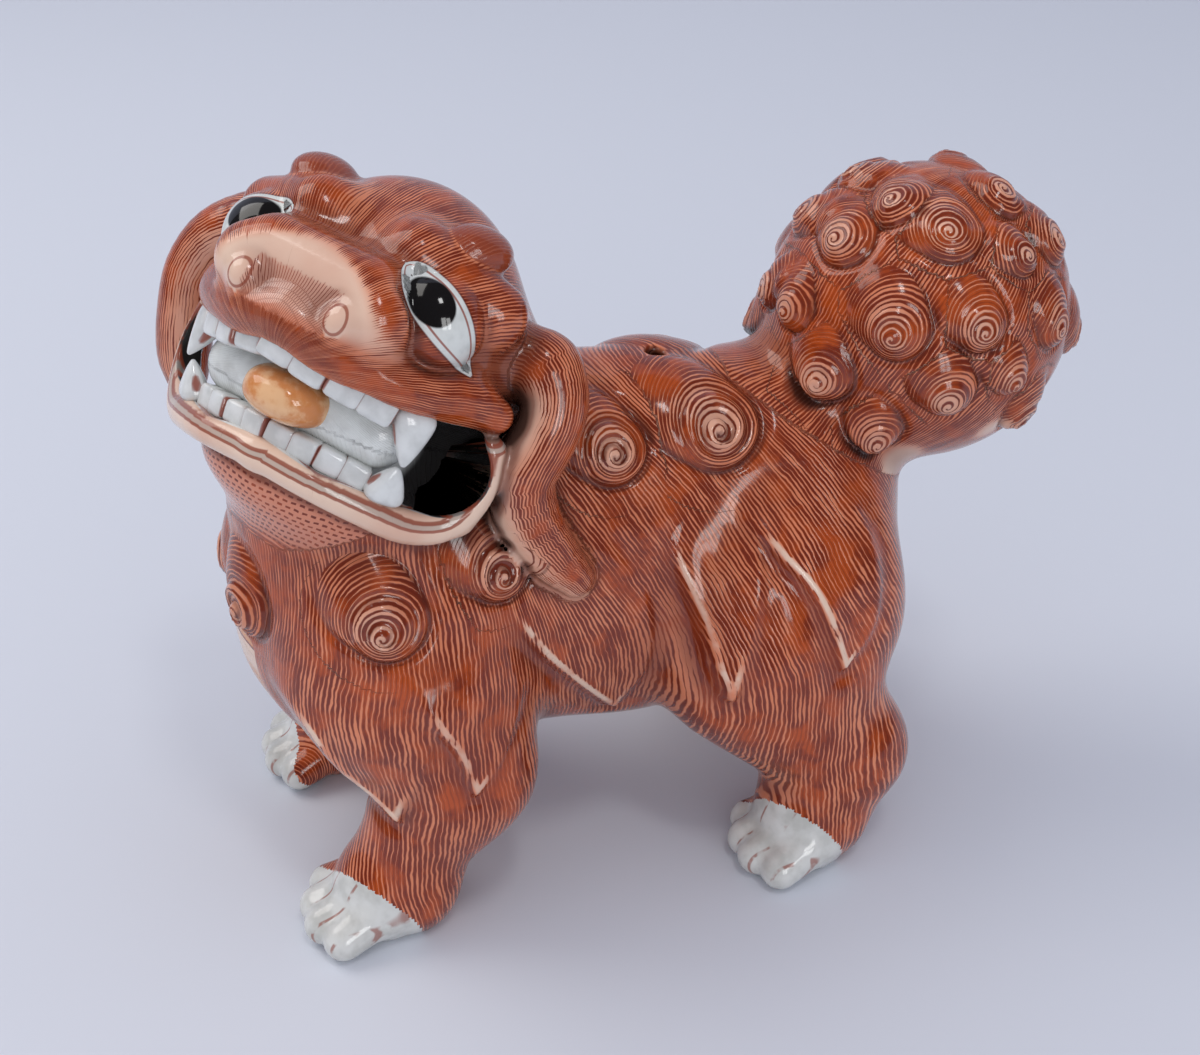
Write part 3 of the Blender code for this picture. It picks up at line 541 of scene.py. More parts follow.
def carve_curl(clay, kind, middle, axes, radius):
    """A low dome with a spiral ridge on it and a groove round it."""
    reach = np.full(3, radius * 2.1)
    part, (x, y, z) = clay.window(middle - reach, middle + reach, 0.0)
    a, b, c = (ax[0] * (x - middle[0]) + ax[1] * (y - middle[1]) + ax[2] * (z - middle[2]) for ax in axes)
    share = spiral_share(a / radius, b / radius)
    angle = np.arctan2(b / radius - CURL_EYE[1], a / radius - CURL_EYE[0])
    dome, ridge = (1.9, 0.22) if kind == "tail_curl" else (2.0, 0.42)
    sweep = np.clip(np.cos(angle - CURL_SWEEP), 0.0, 1.0) ** 2
    outer = share / (1.0 + CURL_REACH * sweep)
    height = dome * np.clip(1.0 - outer ** 2.0, 0.0, 1.0)
    height -= (0.5 - 0.4 * sweep) * np.exp(-((outer - 1.06) / 0.12) ** 2)
    wave = np.cos(2 * math.pi * share * RIDGE_TURNS - angle)
    height += ridge * wave * smooth_step(1.0 - share, 0.0, 0.2)
    near = 1.0 - smooth_step(np.abs(c), radius * 0.7, radius * 1.2)       # only on this side of the body
    clay.field[part] -= (height * near).astype(np.float32)


def model():
    """The whole statue in clay, and where its curls are."""
    clay = Clay((-45.0, -60.0, -3.0), (45.0, 91.0, 121.0), CELL)
    add_trunk(clay)
    add_head(clay)
    add_tail(clay)
    carve_locks(clay)
    curls = find_curls(clay)
    for curl in curls:
        carve_curl(clay, *curl)
    cut_mouth(clay)
    add_mouth_wall(clay)
    add_ears(clay)
    clay.cut(limb(VENT, (VENT[0], VENT[1], VENT[2] - 6.0), 1.4, 1.2), 0.8)
    clay.cut_flat(0.0)
    return clay, curls


# ---- which piece a point of the skin belongs to ----

def path_distance(points, path):
    """Distance from each point to a path's surface, length run along it, and its axis's nearest point and way."""
    best = np.full(len(points), 1e9)
    length = np.zeros(len(points))
    axis_point = np.zeros((len(points), 3))
    axis_way = np.zeros((len(points), 3))
    run = 0.0
    for (start, start_radius), (end, end_radius) in zip(path[:-1], path[1:]):
        way = end - start
        span = np.linalg.norm(way)
        t = np.clip((points - start) @ way / span ** 2, 0.0, 1.0)
        foot = start + t[:, None] * way
        gap = np.linalg.norm(points - foot, axis=1) - (start_radius + (end_radius - start_radius) * t)
        nearer = gap < best
        best[nearer] = gap[nearer]
        length[nearer] = (run + t * span)[nearer]
        axis_point[nearer] = foot[nearer]
        axis_way[nearer] = way / span
        run += span
    return best, length, axis_point, axis_way


def almond(points, side):
    """Distance to the eye's painted outline, less than 0 inside, with places along and across it."""
    inner, outer = on_head(*mirrored(EYE_INNER, side)), on_head(*mirrored(EYE_OUTER, side))
    way = outer - inner
    span = np.linalg.norm(way)
    facing = -HEAD[1] * 0.75 + HEAD[0] * side * 0.6 + HEAD[2] * 0.25
    across = np.cross(way / span, facing)
    across /= np.linalg.norm(across)
    if across @ HEAD[2] < 0:
        across = -across
    along = (points - inner) @ way / span
    off = (points - inner) @ across
    t = np.clip(along / span, 0.0, 1.0)
    over = np.abs(off) - EYE_FULLNESS * np.sqrt(t) * (1.0 - t) ** 0.85
    beyond = np.maximum(np.maximum(-along, along - span), 0.0)
    return np.hypot(np.maximum(over, 0.0), beyond) + np.minimum(over, 0.0), along, off


def pupil_share(points, side):
    """Distance from the pupil's middle, 1 on its edge."""
    _, along, off = almond(points, side)
    _, middle, offset = almond(on_head(*mirrored(PUPIL, side))[None, :], side)
    return np.hypot((along - middle) / PUPIL_HALF[0], (off - offset) / PUPIL_HALF[1])


def leg_distance(points, leg, side):
    """Distance to the nearest of a leg's bars."""
    gaps = []
    for start, end, start_radius, end_radius in leg["limbs"]:
        path = [(np.array(mirrored(start, side)), start_radius), (np.array(mirrored(end, side)), end_radius)]
        gaps.append(path_distance(points, path)[0])
    return np.min(gaps, axis=0)


def above_collar(points):
    """Height over the seam between neck and head, which drops towards the chest."""
    offset = points - COLLAR
    return offset[:, 1] * -math.sin(COLLAR_TILT) + offset[:, 2] * math.cos(COLLAR_TILT)


def inside_mouth(points):
    """1 for points on the walls of the open mouth, fading to 0 over its rim."""
    gap = np.full(len(points), FAR)
    for _, side in SIDES:
        places = [(on_head(*mirrored(p, side)), 6.5) for p in MOUTH]
        gap = np.minimum(gap, path_distance(points, places)[0])
        gap = np.minimum(gap, corner_shape(side)[2](*points.T))
    return 1.0 - smooth_step(gap, 0.0, 0.8)


def label_pieces(points):
    """The name of the piece that each point belongs to."""
    name = np.full(len(points), "body_coat", dtype="U32")
    left = head_coordinates(points)[0]
    head = above_collar(points) > 0.0
    name[head & (points[:, 1] < 6.0)] = "head_coat"
    name[inside_mouth(points) > 0.3] = "head_coat"
    tail = (points - TAIL_ROOT) @ TAIL_AXIS > 0.0
    name[tail & (points[:, 1] > 28.0)] = "tail_coat"
    for which in LEGS:
        for hand, side in SIDES:
            label_leg(name, points, which, hand, side)
    for hand, side in SIDES:
        ear = path_distance(points, head_path(EARS[side], side))[0] < 0.9
        name[ear & (left * side > 19.5)] = f"ear_coat_{hand}"
        name[head & (bud_shape(side)[2](*points.T) < 0.25)] = f"horn_bud_coat_{hand}"
        eye = np.linalg.norm(points - on_head(*mirrored(EYEBALL[0], side)), axis=1) < 8.5
        name[eye & (almond(points, side)[0] < -0.45)] = f"eyeball_glaze_{hand}"
    return name


def label_leg(name, points, which, hand, side):
    """Names the points of one leg and of its white toe cap."""
    leg, (x, y) = LEGS[which], LEGS[which]["paw"]
    low = (points[:, 2] < LEG_TOP) & (leg_distance(points, leg, side) < 1.5)
    low |= points[:, 2] < BELLY
    low &= (points[:, 1] > 5.0) == (which == "rear")
    name[low & (points[:, 0] * side > 0)] = f"{which}_leg_coat_{hand}"
    toe_line = np.array((side * (x + 4.3), y + 0.8, 11.7))
    toes = (points - toe_line) @ np.array(mirrored(TOE_LEAN, side)) > 0.0
    toes &= (np.abs(points[:, 0] - side * x) < 14.0) & (points[:, 2] < BELLY) & (points[:, 1] > y - 14.0)
    name[toes] = f"{which}_paw_glaze_{hand}"


# ---- line coordinates and paint masks ----

def trunk_lines(points):
    """Position across the painted hair of the body, in lines; hair runs down the sides and round the ends."""
    x, y, z = points.T
    front, rear, radius = -24.0, 40.0, 20.0
    at_front = front - radius * (math.pi / 2 - np.arctan2(np.abs(x), np.maximum(front - y, 0.0) + 1e-6))
    at_rear = rear + radius * (math.pi / 2 - np.arctan2(np.abs(x), np.maximum(y - rear, 0.0) + 1e-6))
    s = np.where(y < front, at_front, np.where(y > rear, at_rear, y))
    lean = 0.010 * np.maximum(z - 28.0, 0.0) ** 2 * smooth_step(y, -16.0, 0.0)
    s = s + lean + 0.45 * np.sin(z * 0.24 + s * 0.06) + 0.10 * np.sin(z * 0.61 + s * 0.21)
    return s / HAIR["body"] + np.minimum(s - front, 0.0) * (1.0 / HAIR["chest"] - 1.0 / HAIR["body"])


def head_lines(points):
    """Hair runs from the forehead to the nape."""
    left, forward, up = head_coordinates(points)
    return np.arctan2(left, up + 3.0) * HEAD_GIRTH / HAIR["head"], forward


def tail_lines(points):
    """Hair fans out from the tail's root and runs over the ball to its far end."""
    out = points - TAIL_CENTRE
    across = np.array((0.0, TAIL_AXIS[2], -TAIL_AXIS[1]))
    angle = np.arctan2(out @ across, np.abs(out[:, 0]))
    return angle * TAIL_RADII[0] / HAIR["tail"], out @ TAIL_AXIS


def ear_lines(points, side):
    """Angle round an ear's roll, from its front, and the length run along it."""
    _, length, foot, way = path_distance(points, head_path(EARS[side], side))
    out = points - foot
    front = -HEAD[1] - way * (way @ -HEAD[1])[:, None]
    front /= np.linalg.norm(front, axis=1, keepdims=True)
    other = np.cross(way, front)
    return np.arctan2((out * other).sum(1) * side, (out * front).sum(1)), length


def curl_frame(points, names, curls):
    """For each point: its place in the nearest curl's disc, and how many lines the disc's radius holds."""
    best = np.full(len(points), 2.2)
    result = np.full((len(points), 3), 3.0)
    on_tail = names == "tail_coat"
    for kind, middle, axes, radius in curls:
        allowed = on_tail if kind == "tail_curl" else ~on_tail
        near = allowed & (np.linalg.norm(points - middle, axis=1) < radius * 2.2)
        local = (points[near] - middle) @ np.array(axes).T / radius
        share = spiral_share(local[:, 0], local[:, 1]) + 4.0 * (np.abs(local[:, 2]) > 1.0)
        index = np.flatnonzero(near)
        better = share < best[index]
        index = index[better]
        best[index] = share[better]
        result[index, :2] = local[better, :2] - CURL_EYE
        result[index, 2] = radius / HAIR["tail_curl" if kind == "tail_curl" else "curl"]
    return result


def mask_hair(masks, points, names):
    """On which hair line a point lies, counted across the hair, and how far along it."""
    masks["hair"], masks["along"] = trunk_lines(points), points[:, 2].copy()
    for area, (lines, run) in ((upper_head(points, names), head_lines(points)),
                               (names == "tail_coat", tail_lines(points))):
        masks["hair"][area], masks["along"][area] = lines[area], run[area]
    for hand, side in SIDES:
        ear = names == f"ear_coat_{hand}"
        angle, length = ear_lines(points[ear], side)
        masks["hair"][ear], masks["along"][ear] = angle * EAR_GIRTH / HAIR["ear"], length
        bare = np.exp(-((angle - 0.5) / 0.65) ** 2) * smooth_step(length, 5.0, 12.0)
        bare *= 1.0 - 0.5 * smooth_step(length, 26.0, 38.0)
        masks["cream"][ear] = bare * (1.0 if side > 0 else 0.5)


def upper_head(points, names):
    """The points above the mouth: head, buds and eyes."""
    head = (names == "head_coat") & (head_coordinates(points)[2] > -9.0)
    return head | np.char.startswith(names, "horn") | np.char.startswith(names, "eyeball")


def mask_eyes(masks, points, names):
    """Distances to the eyes' outlines, to the pupils and to the lines round the buds."""
    left, forward, _ = head_coordinates(points)
    on_face = (names == "head_coat") | np.char.startswith(names, "eyeball")
    upper = upper_head(points, names)
    for _, side in SIDES:
        outline, _, _ = almond(points, side)
        close = on_face & (outline < 3.0) & (left * side > 4.0) & (forward > 0.0)
        masks["eye"][close] = outline[close]
        masks["pupil"][close] = pupil_share(points[close], side)
        bud = bud_shape(side)[2](*points.T)
        masks["mark"][upper] = np.minimum(masks["mark"], bud - 0.1)[upper]


def mask_nose(masks, points, names):
    """The bare pad on the nose, a ring round each nostril, and short dashes between them."""
    left, forward, up = head_coordinates(points)
    on_pad = (names == "head_coat") & (forward > 14.0)
    pad = (left / 13.8) ** 2 + ((up - 9.0 + 0.020 * left ** 2) / 4.6) ** 2
    masks["cream"][on_pad] = 1.0 - smooth_step(pad[on_pad], 0.55, 1.25)
    ring = np.hypot(np.abs(left) - NOSTRIL[0], (up - NOSTRIL[2]) / 1.25) - 1.5
    masks["mark"][on_pad] = np.minimum(masks["mark"], ring)[on_pad]
    masks["cream"][on_pad & (ring < 0.4)] = 1.0
    masks["stipple"][on_pad & (forward > 19.0) & (np.abs(left) < 6.5) & (up < 9.0) & (up > 3.5)] = 1.0


def mask_mouth(masks, points, names):
    """Height on the lower lip, the white inside of the mouth, its deep corners where shade is painted, and dashes
    on the chin.
    """
    left, forward, up = head_coordinates(points)
    for _, side in SIDES:
        gap, _, foot, _ = path_distance(points, head_path(LOWER_LIP, side))
        near = (gap < 0.75) & ~np.char.startswith(names, "ear")
        masks["lip"][near] = ((points - foot) @ (HEAD[2] * 0.9 - HEAD[1] * 0.44))[near]
        masks["cream"][near] = 1.0
    masks["mouth"] = inside_mouth(points)
    # how far into the mouth's deep corners a point lies, where the material paints shade
    corner = smooth_step(np.abs(left), 11.8, 15.2) * smooth_step(-forward, -9.0, -5.0)
    masks["deep"] = masks["mouth"] * corner
    chin = (names == "head_coat") & (up < -16.5) & (up > -29.0) & (forward > -2.0) & (masks["lip"] < -8.0)
    masks["stipple"][chin] = 1.0 - smooth_step(-up[chin], 25.5, 29.0)
    masks["hair"][chin] = -up[chin] / HAIR["chin"]
    masks["along"][chin] = np.arctan2(left, forward + 6.0)[chin] * 20.0


def mask_body(masks, points, names):
    """Plates down the chest, bare patches low on the tail, and the lines between the toes."""
    x, y, z = points.T
    plates = (1.0 - smooth_step(np.abs(x), 7.0, 10.5)) * (1.0 - smooth_step(z, 44.0, 48.0))
    masks["plates"] = plates * smooth_step(-y, 34.0, 38.0) * (names == "body_coat")
    for _, side in SIDES:
        for place, size in TAIL_PATCHES:
            gap = np.linalg.norm(points - np.array(mirrored(place, side)), axis=1) / size
            patch = (1.0 - smooth_step(gap, 0.5, 1.2)) * (names == "tail_coat")
            masks["cream"] = np.maximum(masks["cream"], patch)
        for leg in LEGS.values():
            middle, front = side * leg["paw"][0], leg["paw"][1]
            near = (np.abs(x - middle) < 9.5) & (np.abs(y - front) < 12.0)
            turn = (x[near] - middle) / TOE_SPREAD * math.pi
            masks["toes"][near] = np.sin(turn) * TOE_SPREAD / math.pi


def mask_locks(masks, points, names):
    """Distance to the nearest lock's edge, and how strong that lock is there."""
    x, y, z = points.T
    coat = (names == "body_coat") | (np.char.find(names, "leg_coat") > 0)
    coat &= np.abs(x) > 10.0
    for corners in LOCKS.values():
        edge = np.where(coat, outline_distance(y, z, corners), FAR)
        nearer = np.abs(edge) < np.abs(masks["lock_edge"])
        masks["lock_edge"] = np.where(nearer, edge, masks["lock_edge"])
        masks["lock_share"] = np.where(nearer, lock_strength(y, z, corners), masks["lock_share"])


def paint_masks(points, normals, names, clay):
    """Every attribute the materials read, apart from the curls'."""
    blank = {"cream": 0.0, "stipple": 0.0, "lock_share": 0.0, "lock_edge": FAR, "lip": -FAR,
             "mark": 5.0, "eye": 5.0, "pupil": 5.0, "toes": 5.0}
    masks = {name: np.full(len(points), value) for name, value in blank.items()}
    for fill in (mask_hair, mask_eyes, mask_nose, mask_mouth, mask_body, mask_locks):
        fill(masks, points, names)
    # hollow: below 1 where the skin is closed in round a point; the materials paint shade from it
    masks["hollow"] = np.clip(clay.sample(points + normals * 2.2) / 2.2, -0.5, 1.5)
    masks["sharp"] = np.clip(-clay.sample(points - normals * 1.1) / 1.1, -0.5, 1.5)
    return masks


# ---- meshes ----

def open_rims(quads):
    """The sides on a patch's open rims, and for each of them a number that its whole rim shares."""
    sides = np.concatenate([quads[:, [i, (i + 1) % 4]] for i in range(4)])
    count = int(quads.max()) + 1
    opposite = sides[:, 1] * count + sides[:, 0]
    rim = sides[~np.isin(sides @ (count, 1), opposite)]
    group, before = np.arange(count), None
    while before is None or (before != group).any():
        before = group.copy()
        low = np.minimum(group[rim[:, 0]], group[rim[:, 1]])
        np.minimum.at(group, rim[:, 0], low)
        np.minimum.at(group, rim[:, 1], low)
    return rim, group[rim[:, 0]]


def new_object(name, points, faces, normals=None):
    """A mesh object from points in modelling millimetres and a list of face arrays."""
    mesh = bpy.data.meshes.new(name)
    mesh.vertices.add(len(points))
    mesh.vertices.foreach_set("co", ((points + STAND) * MM).astype(np.float32).ravel())
    corners = np.concatenate([f.ravel() for f in faces]).astype(np.int32)
    sizes = np.concatenate([np.full(len(f), f.shape[1]) for f in faces])
    mesh.loops.add(len(corners))
    mesh.loops.foreach_set("vertex_index", corners)
    mesh.polygons.add(len(sizes))
    mesh.polygons.foreach_set("loop_start", (np.cumsum(sizes) - sizes).astype(np.int32))
    mesh.update(calc_edges=True)
    mesh.validate()
    mesh.shade_smooth()
    if normals is not None:
        mesh.normals_split_custom_set_from_vertices(normals.tolist())
    obj = bpy.data.objects.new(name, mesh)
    bpy.context.scene.collection.objects.link(obj)
    return obj


def add_attributes(obj, values):
    """Stores a number or a vector for each point, by name."""
    for name, data in values.items():
        kind = "FLOAT_VECTOR" if data.ndim == 2 else "FLOAT"
        attribute = obj.data.attributes.new(name, kind, "POINT")
        attribute.data.foreach_set("vector" if data.ndim == 2 else "value", data.astype(np.float32).ravel())


def split_skin(clay, curls):
    """Cuts the skin into the statue's pieces. A face goes to the name that most of its corners have."""
    points, quads = clay.skin()
    normals = clay.normals(points)
    names = label_pieces(points)
    values = paint_masks(points, normals, names, clay)
    values["whorl"] = curl_frame(points, names, curls)
    kinds, number = np.unique(names, return_inverse=True)
    face_kind = np.sort(number[quads], axis=1)[:, 1]
    return {str(name): closed_piece(str(name), quads[face_kind == index], points, normals, values)
            for index, name in enumerate(kinds)}


def closed_piece(name, quads, points, normals, values):
    """An object from part of the skin, each of its open rims closed by a fan round an inner point."""
    used, local = np.unique(quads, return_inverse=True)
    local = local.reshape(quads.shape)
    rim, group = open_rims(local)
    rims, spoke = np.unique(group, return_inverse=True)
    outward, middle = (np.array([column[used[rim[group == g, 0]]].mean(0) for g in rims])
                      for column in (normals, points))
    middle = middle - outward * 1.5
    fans = np.stack([rim[:, 1], rim[:, 0], len(used) + spoke], 1)
    obj = new_object(name, np.concatenate([points[used], middle]), [local, fans],
                     np.concatenate([normals[used], outward]))
    add_attributes(obj, {key: np.concatenate([column[used], np.zeros((len(rims),) + column.shape[1:])])
                         for key, column in values.items()})
    return obj


def block(centre, axes, half, rows=18, columns=28, power=0.55, taper=0.0):
    """A rounded block (superellipsoid) with its half sizes along three axes; taper narrows its lower end."""
    v = np.linspace(-math.pi / 2, math.pi / 2, rows + 1)[1:-1]
    u = np.linspace(0, 2 * math.pi, columns, endpoint=False)
    v, u = np.meshgrid(v, u, indexing="ij")

    def bent(t):
        return np.sign(t) * np.abs(t) ** power
    ring = bent(np.cos(v))
    unit = np.stack([ring * bent(np.cos(u)), ring * bent(np.sin(u)), bent(np.sin(v))], -1)
    unit = np.concatenate([unit.reshape(-1, 3), [[0, 0, -1.0], [0, 0, 1.0]]])
    narrowing = 1.0 - taper * (1.0 - unit[:, 2]) / 2.0
    local = unit * np.array(half)
    local[:, :2] *= narrowing[:, None]
    points = np.asarray(centre) + local @ np.array(axes)
    index = np.arange((rows - 1) * columns).reshape(rows - 1, columns)
    following = np.roll(index, -1, axis=1)
    quads = np.stack([index[:-1], following[:-1], following[1:], index[1:]], -1).reshape(-1, 4)
    south, north = (rows - 1) * columns, (rows - 1) * columns + 1
    low_cap = np.stack([following[0], index[0], np.full(columns, south)], -1)
    high_cap = np.stack([index[-1], following[-1], np.full(columns, north)], -1)
    return points, unit, quads, np.concatenate([low_cap, high_cap])


def join_blocks(name, blocks):
    """One object from several closed blocks; keeps each point's place in its own block."""
    points, units, quads, caps = [], [], [], []
    count = 0
    for p, unit, q, c in blocks:
        points.append(p)
        units.append(unit)
        quads.append(q + count)
        caps.append(c + count)
        count += len(p)
    obj = new_object(name, np.concatenate(points), [np.concatenate(quads), np.concatenate(caps)])
    unit = np.concatenate(units)
    add_attributes(obj, {"side": unit[:, 0], "front": unit[:, 1], "height": unit[:, 2]})
    return obj


def arc_places(half_path, steps):
    """Places and directions at shares of a row of teeth that is the same on both sides."""
    path = [np.array((-p[0], p[1], p[2])) for p in half_path[:0:-1]] + [np.array(p) for p in half_path]
    lengths = np.cumsum([0.0] + [np.linalg.norm(b - a) for a, b in zip(path[:-1], path[1:])])
    for share in steps:
        run = share * lengths[-1]
        number = min(int(np.searchsorted(lengths, run, side="right")) - 1, len(path) - 2)
        t = (run - lengths[number]) / (lengths[number + 1] - lengths[number])
        way = path[number + 1] - path[number]
        yield path[number] + t * way, way / np.linalg.norm(way), lengths[-1]


def tooth_row(name, half_path, count, half_height, depth, seed):
    """A strip of rounded teeth that touch each other."""
    random = np.random.default_rng(seed)
    blocks = []
    steps = [(i + 0.5) / count for i in range(count)]
    for place, way, length in arc_places(half_path, steps):
        across = way[0] * HEAD[0] - way[1] * HEAD[1] + way[2] * HEAD[2]
        across /= np.linalg.norm(across)
        upward = HEAD[2] - across * (HEAD[2] @ across)
        upward /= np.linalg.norm(upward)
        outward = np.cross(upward, across)
        size = (length / count / 2 * 1.10, depth, half_height * random.uniform(0.92, 1.06))
        axes = (across, np.cross(upward, across), upward)
        centre = on_head(*place) + outward * random.uniform(-0.15, 0.15)
        blocks.append(block(centre, axes, size, power=0.36))
    return join_blocks(name, blocks)


def fang(name, ends, side, widths):
    """A stout pointed tooth."""
    root, tip = (on_head(*mirrored(p, side)) for p in ends)
    way = (root - tip) / np.linalg.norm(root - tip)
    outward = HEAD[0] * side * 0.7 - HEAD[1] * 0.7
    outward = outward - way * (outward @ way)
    outward /= np.linalg.norm(outward)
    axes = (np.cross(outward, way), outward, way)
    half = (*widths, np.linalg.norm(root - tip) / 2)
    return join_blocks(name, [block((root + tip) / 2, axes, half, power=0.7, taper=0.8)])


def mouth_pieces():
    """Teeth, fangs and tongue."""
    pieces = {
        "upper_teeth_glaze": tooth_row("upper_teeth_glaze", UPPER_TEETH, 7, 2.3, 2.0, 3),
        "lower_teeth_glaze": tooth_row("lower_teeth_glaze", LOWER_TEETH, 8, 1.7, 1.6, 5),
    }
    for hand, side in SIDES:
        for which, ends, width in (("upper", UPPER_FANG, 3.7), ("lower", LOWER_FANG, 3.6)):
            name = f"{which}_fang_glaze_{hand}"
            pieces[name] = fang(name, ends, side, (width, 2.6))
    centre, half = TONGUE
    axes = (HEAD[0], -HEAD[1], np.cross(HEAD[0], -HEAD[1]))
    pieces["tongue_glaze"] = join_blocks("tongue_glaze", [block(on_head(*centre), axes, half, 24, 36, 0.85)])
    return pieces


# ---- materials ----

class Value:
    """A number or a colour that comes out of a material's nodes; numbers can be reckoned with."""

    def __init__(self, paint, socket):
        self.paint = paint
        self.socket = socket

    def __add__(self, other):
        return self.paint.math("ADD", self, other)

    def __sub__(self, other):
        return self.paint.math("SUBTRACT", self, other)

    def __rsub__(self, other):
        return self.paint.math("SUBTRACT", other, self)

    def __mul__(self, other):
        return self.paint.math("MULTIPLY", self, other)

    def __truediv__(self, other):
        return self.paint.math("DIVIDE", self, other)

    def __abs__(self):
        return self.paint.math("ABSOLUTE", self)


class Paint:
    """Short calls for building one material's nodes."""

    def __init__(self, name):
        self.material = bpy.data.materials.new(name)
        self.material.use_nodes = True
        self.nodes = self.material.node_tree.nodes
        self.links = self.material.node_tree.links
        self.shader = self.nodes["Principled BSDF"]

    def put(self, socket, value):
        if isinstance(value, Value):
            self.links.new(value.socket, socket)
        elif isinstance(value, tuple) and len(value) == 3 and socket.type == "RGBA":
            socket.default_value = (*value, 1.0)
        else:
            socket.default_value = value

    def attribute(self, name, output="Fac"):
        node = self.nodes.new("ShaderNodeAttribute")
        node.attribute_name = name
        return Value(self, node.outputs[output])

    def math(self, operation, *values):
        node = self.nodes.new("ShaderNodeMath")
        node.operation = operation
        for socket, value in zip(node.inputs, values):
            self.put(socket, value)
        return Value(self, node.outputs[0])

    def span(self, value, low, high):
        """Smooth step: 0 at low, 1 at high, whichever of the two is larger."""
        node = self.nodes.new("ShaderNodeMapRange")
        node.interpolation_type = "SMOOTHSTEP"
        for name, item in (("Value", value), ("From Min", low), ("From Max", high)):
            self.put(node.inputs[name], item)
        return Value(self, node.outputs[0])

    def line(self, distance, outer, inner):
        """A line of soft edges: 0 further off than outer on both sides, 1 closer than inner."""
        return self.span(abs(distance), outer, inner)

    def mix(self, share, first, second):
        node = self.nodes.new("ShaderNodeMix")
        node.data_type = "RGBA"
        for number, item in ((0, share), (6, first), (7, second)):
            self.put(node.inputs[number], item)
        return Value(self, node.outputs[2])

    def place(self):
        """Object position in millimetres."""
        coordinates = self.nodes.new("ShaderNodeTexCoord")
        node = self.nodes.new("ShaderNodeVectorMath")
        node.operation = "SCALE"
        self.links.new(coordinates.outputs["Object"], node.inputs[0])
        node.inputs["Scale"].default_value = 1.0 / MM
        return Value(self, node.outputs[0])

    def noise(self, scale, detail=2.0, roughness=0.5, vector=None):
        node = self.nodes.new("ShaderNodeTexNoise")
        self.put(node.inputs["Vector"], vector or self.place())
        for name, value in (("Scale", scale), ("Detail", detail), ("Roughness", roughness)):
            node.inputs[name].default_value = value
        return Value(self, node.outputs[0])

    def vector(self, *parts):
        node = self.nodes.new("ShaderNodeCombineXYZ")
        for socket, value in zip(node.inputs, parts):
            self.put(socket, value)
        return Value(self, node.outputs[0])

    def split(self, vector):
        node = self.nodes.new("ShaderNodeSeparateXYZ")
        self.put(node.inputs[0], vector)
        return [Value(self, socket) for socket in node.outputs]

    def finish(self, colour, roughness, height=None, depth=0.1):
        """Connects colour, roughness and a bump whose depth is in millimetres."""
        for name, value in (("Base Color", colour), ("Roughness", roughness), ("Specular IOR Level", 0.4),
                            ("Coat Weight", 0.25), ("Coat Roughness", 0.06)):
            self.put(self.shader.inputs[name], value)
        if height is not None:
            bump = self.nodes.new("ShaderNodeBump")
            bump.inputs["Distance"].default_value = depth * MM
            bump.inputs["Strength"].default_value = 1.0
            self.put(bump.inputs["Height"], height)
            self.links.new(bump.outputs[0], self.shader.inputs["Normal"])
        return self.material


def curl_phase(p):
    """Line coordinate inside a curl, how much it sweeps out there, and the share of its whole outline."""
    a, b, turns = p.split(p.attribute("whorl", "Vector"))
    offset = float(CURL_EYE @ CURL_EYE)
    slope = a * CURL_EYE[0] + b * CURL_EYE[1]
    square = a * a + b * b
    share = (slope + p.math("SQRT", slope * slope + square * (1.0 - offset))) / (1.0 - offset)
    turn = p.math("ARCTAN2", b, a) / (2 * math.pi)
    length = p.math("MAXIMUM", p.math("SQRT", square), 1e-4)
    sweep = (a * math.cos(CURL_SWEEP) + b * math.sin(CURL_SWEEP)) / length
    sweep = p.math("POWER", p.math("MAXIMUM", sweep, 0.0), 2.0)
    lines = p.math("POWER", p.math("MAXIMUM", share, 0.0), CURL_SPREAD) * turns
    return lines - turn, sweep, share / (sweep * CURL_REACH + 1.0)


def bare_share(p, patch):
    """Where the glaze is bare: the cream areas and the worn edges of the locks."""
    edge = p.line(p.attribute("lock_edge") + 0.35, 0.65, 0.2) * p.span(patch, 0.30, 0.56)
    edge = edge * p.span(p.attribute("lock_share"), 0.35, 0.8)
    return p.math("MAXIMUM", p.attribute("cream"), edge)


def brush_strokes(p, phase, patch, thin):
    """How much ink there is, and the distance from the middle of the nearest stroke.

    Strokes widen where the enamel is dense, and dashes take their place where there's stipple.
    """
    number = p.math("FLOOR", phase)
    across = abs(p.math("FRACT", phase) - 0.5)
    along = p.attribute("along")
    streak = p.noise(1.0, vector=p.vector(number * 7.3, along * 0.16, 0.0))
    width = (streak - 0.5) + (patch - 0.5) * 0.5 + STROKE_WIDTH - thin
    width = width - p.span(p.attribute("sharp"), 0.97, 0.7) * 0.22
    stroke = p.span(width - across, -0.07, 0.10)
    dash = p.line(p.math("FRACT", along / HAIR["dash"] + number * 0.5) - 0.5, 0.33, 0.25)
    dash = dash * p.span(across, 0.24, 0.14)
    stipple = p.attribute("stipple")
    return stroke * (1.0 - stipple) + dash * stipple, across


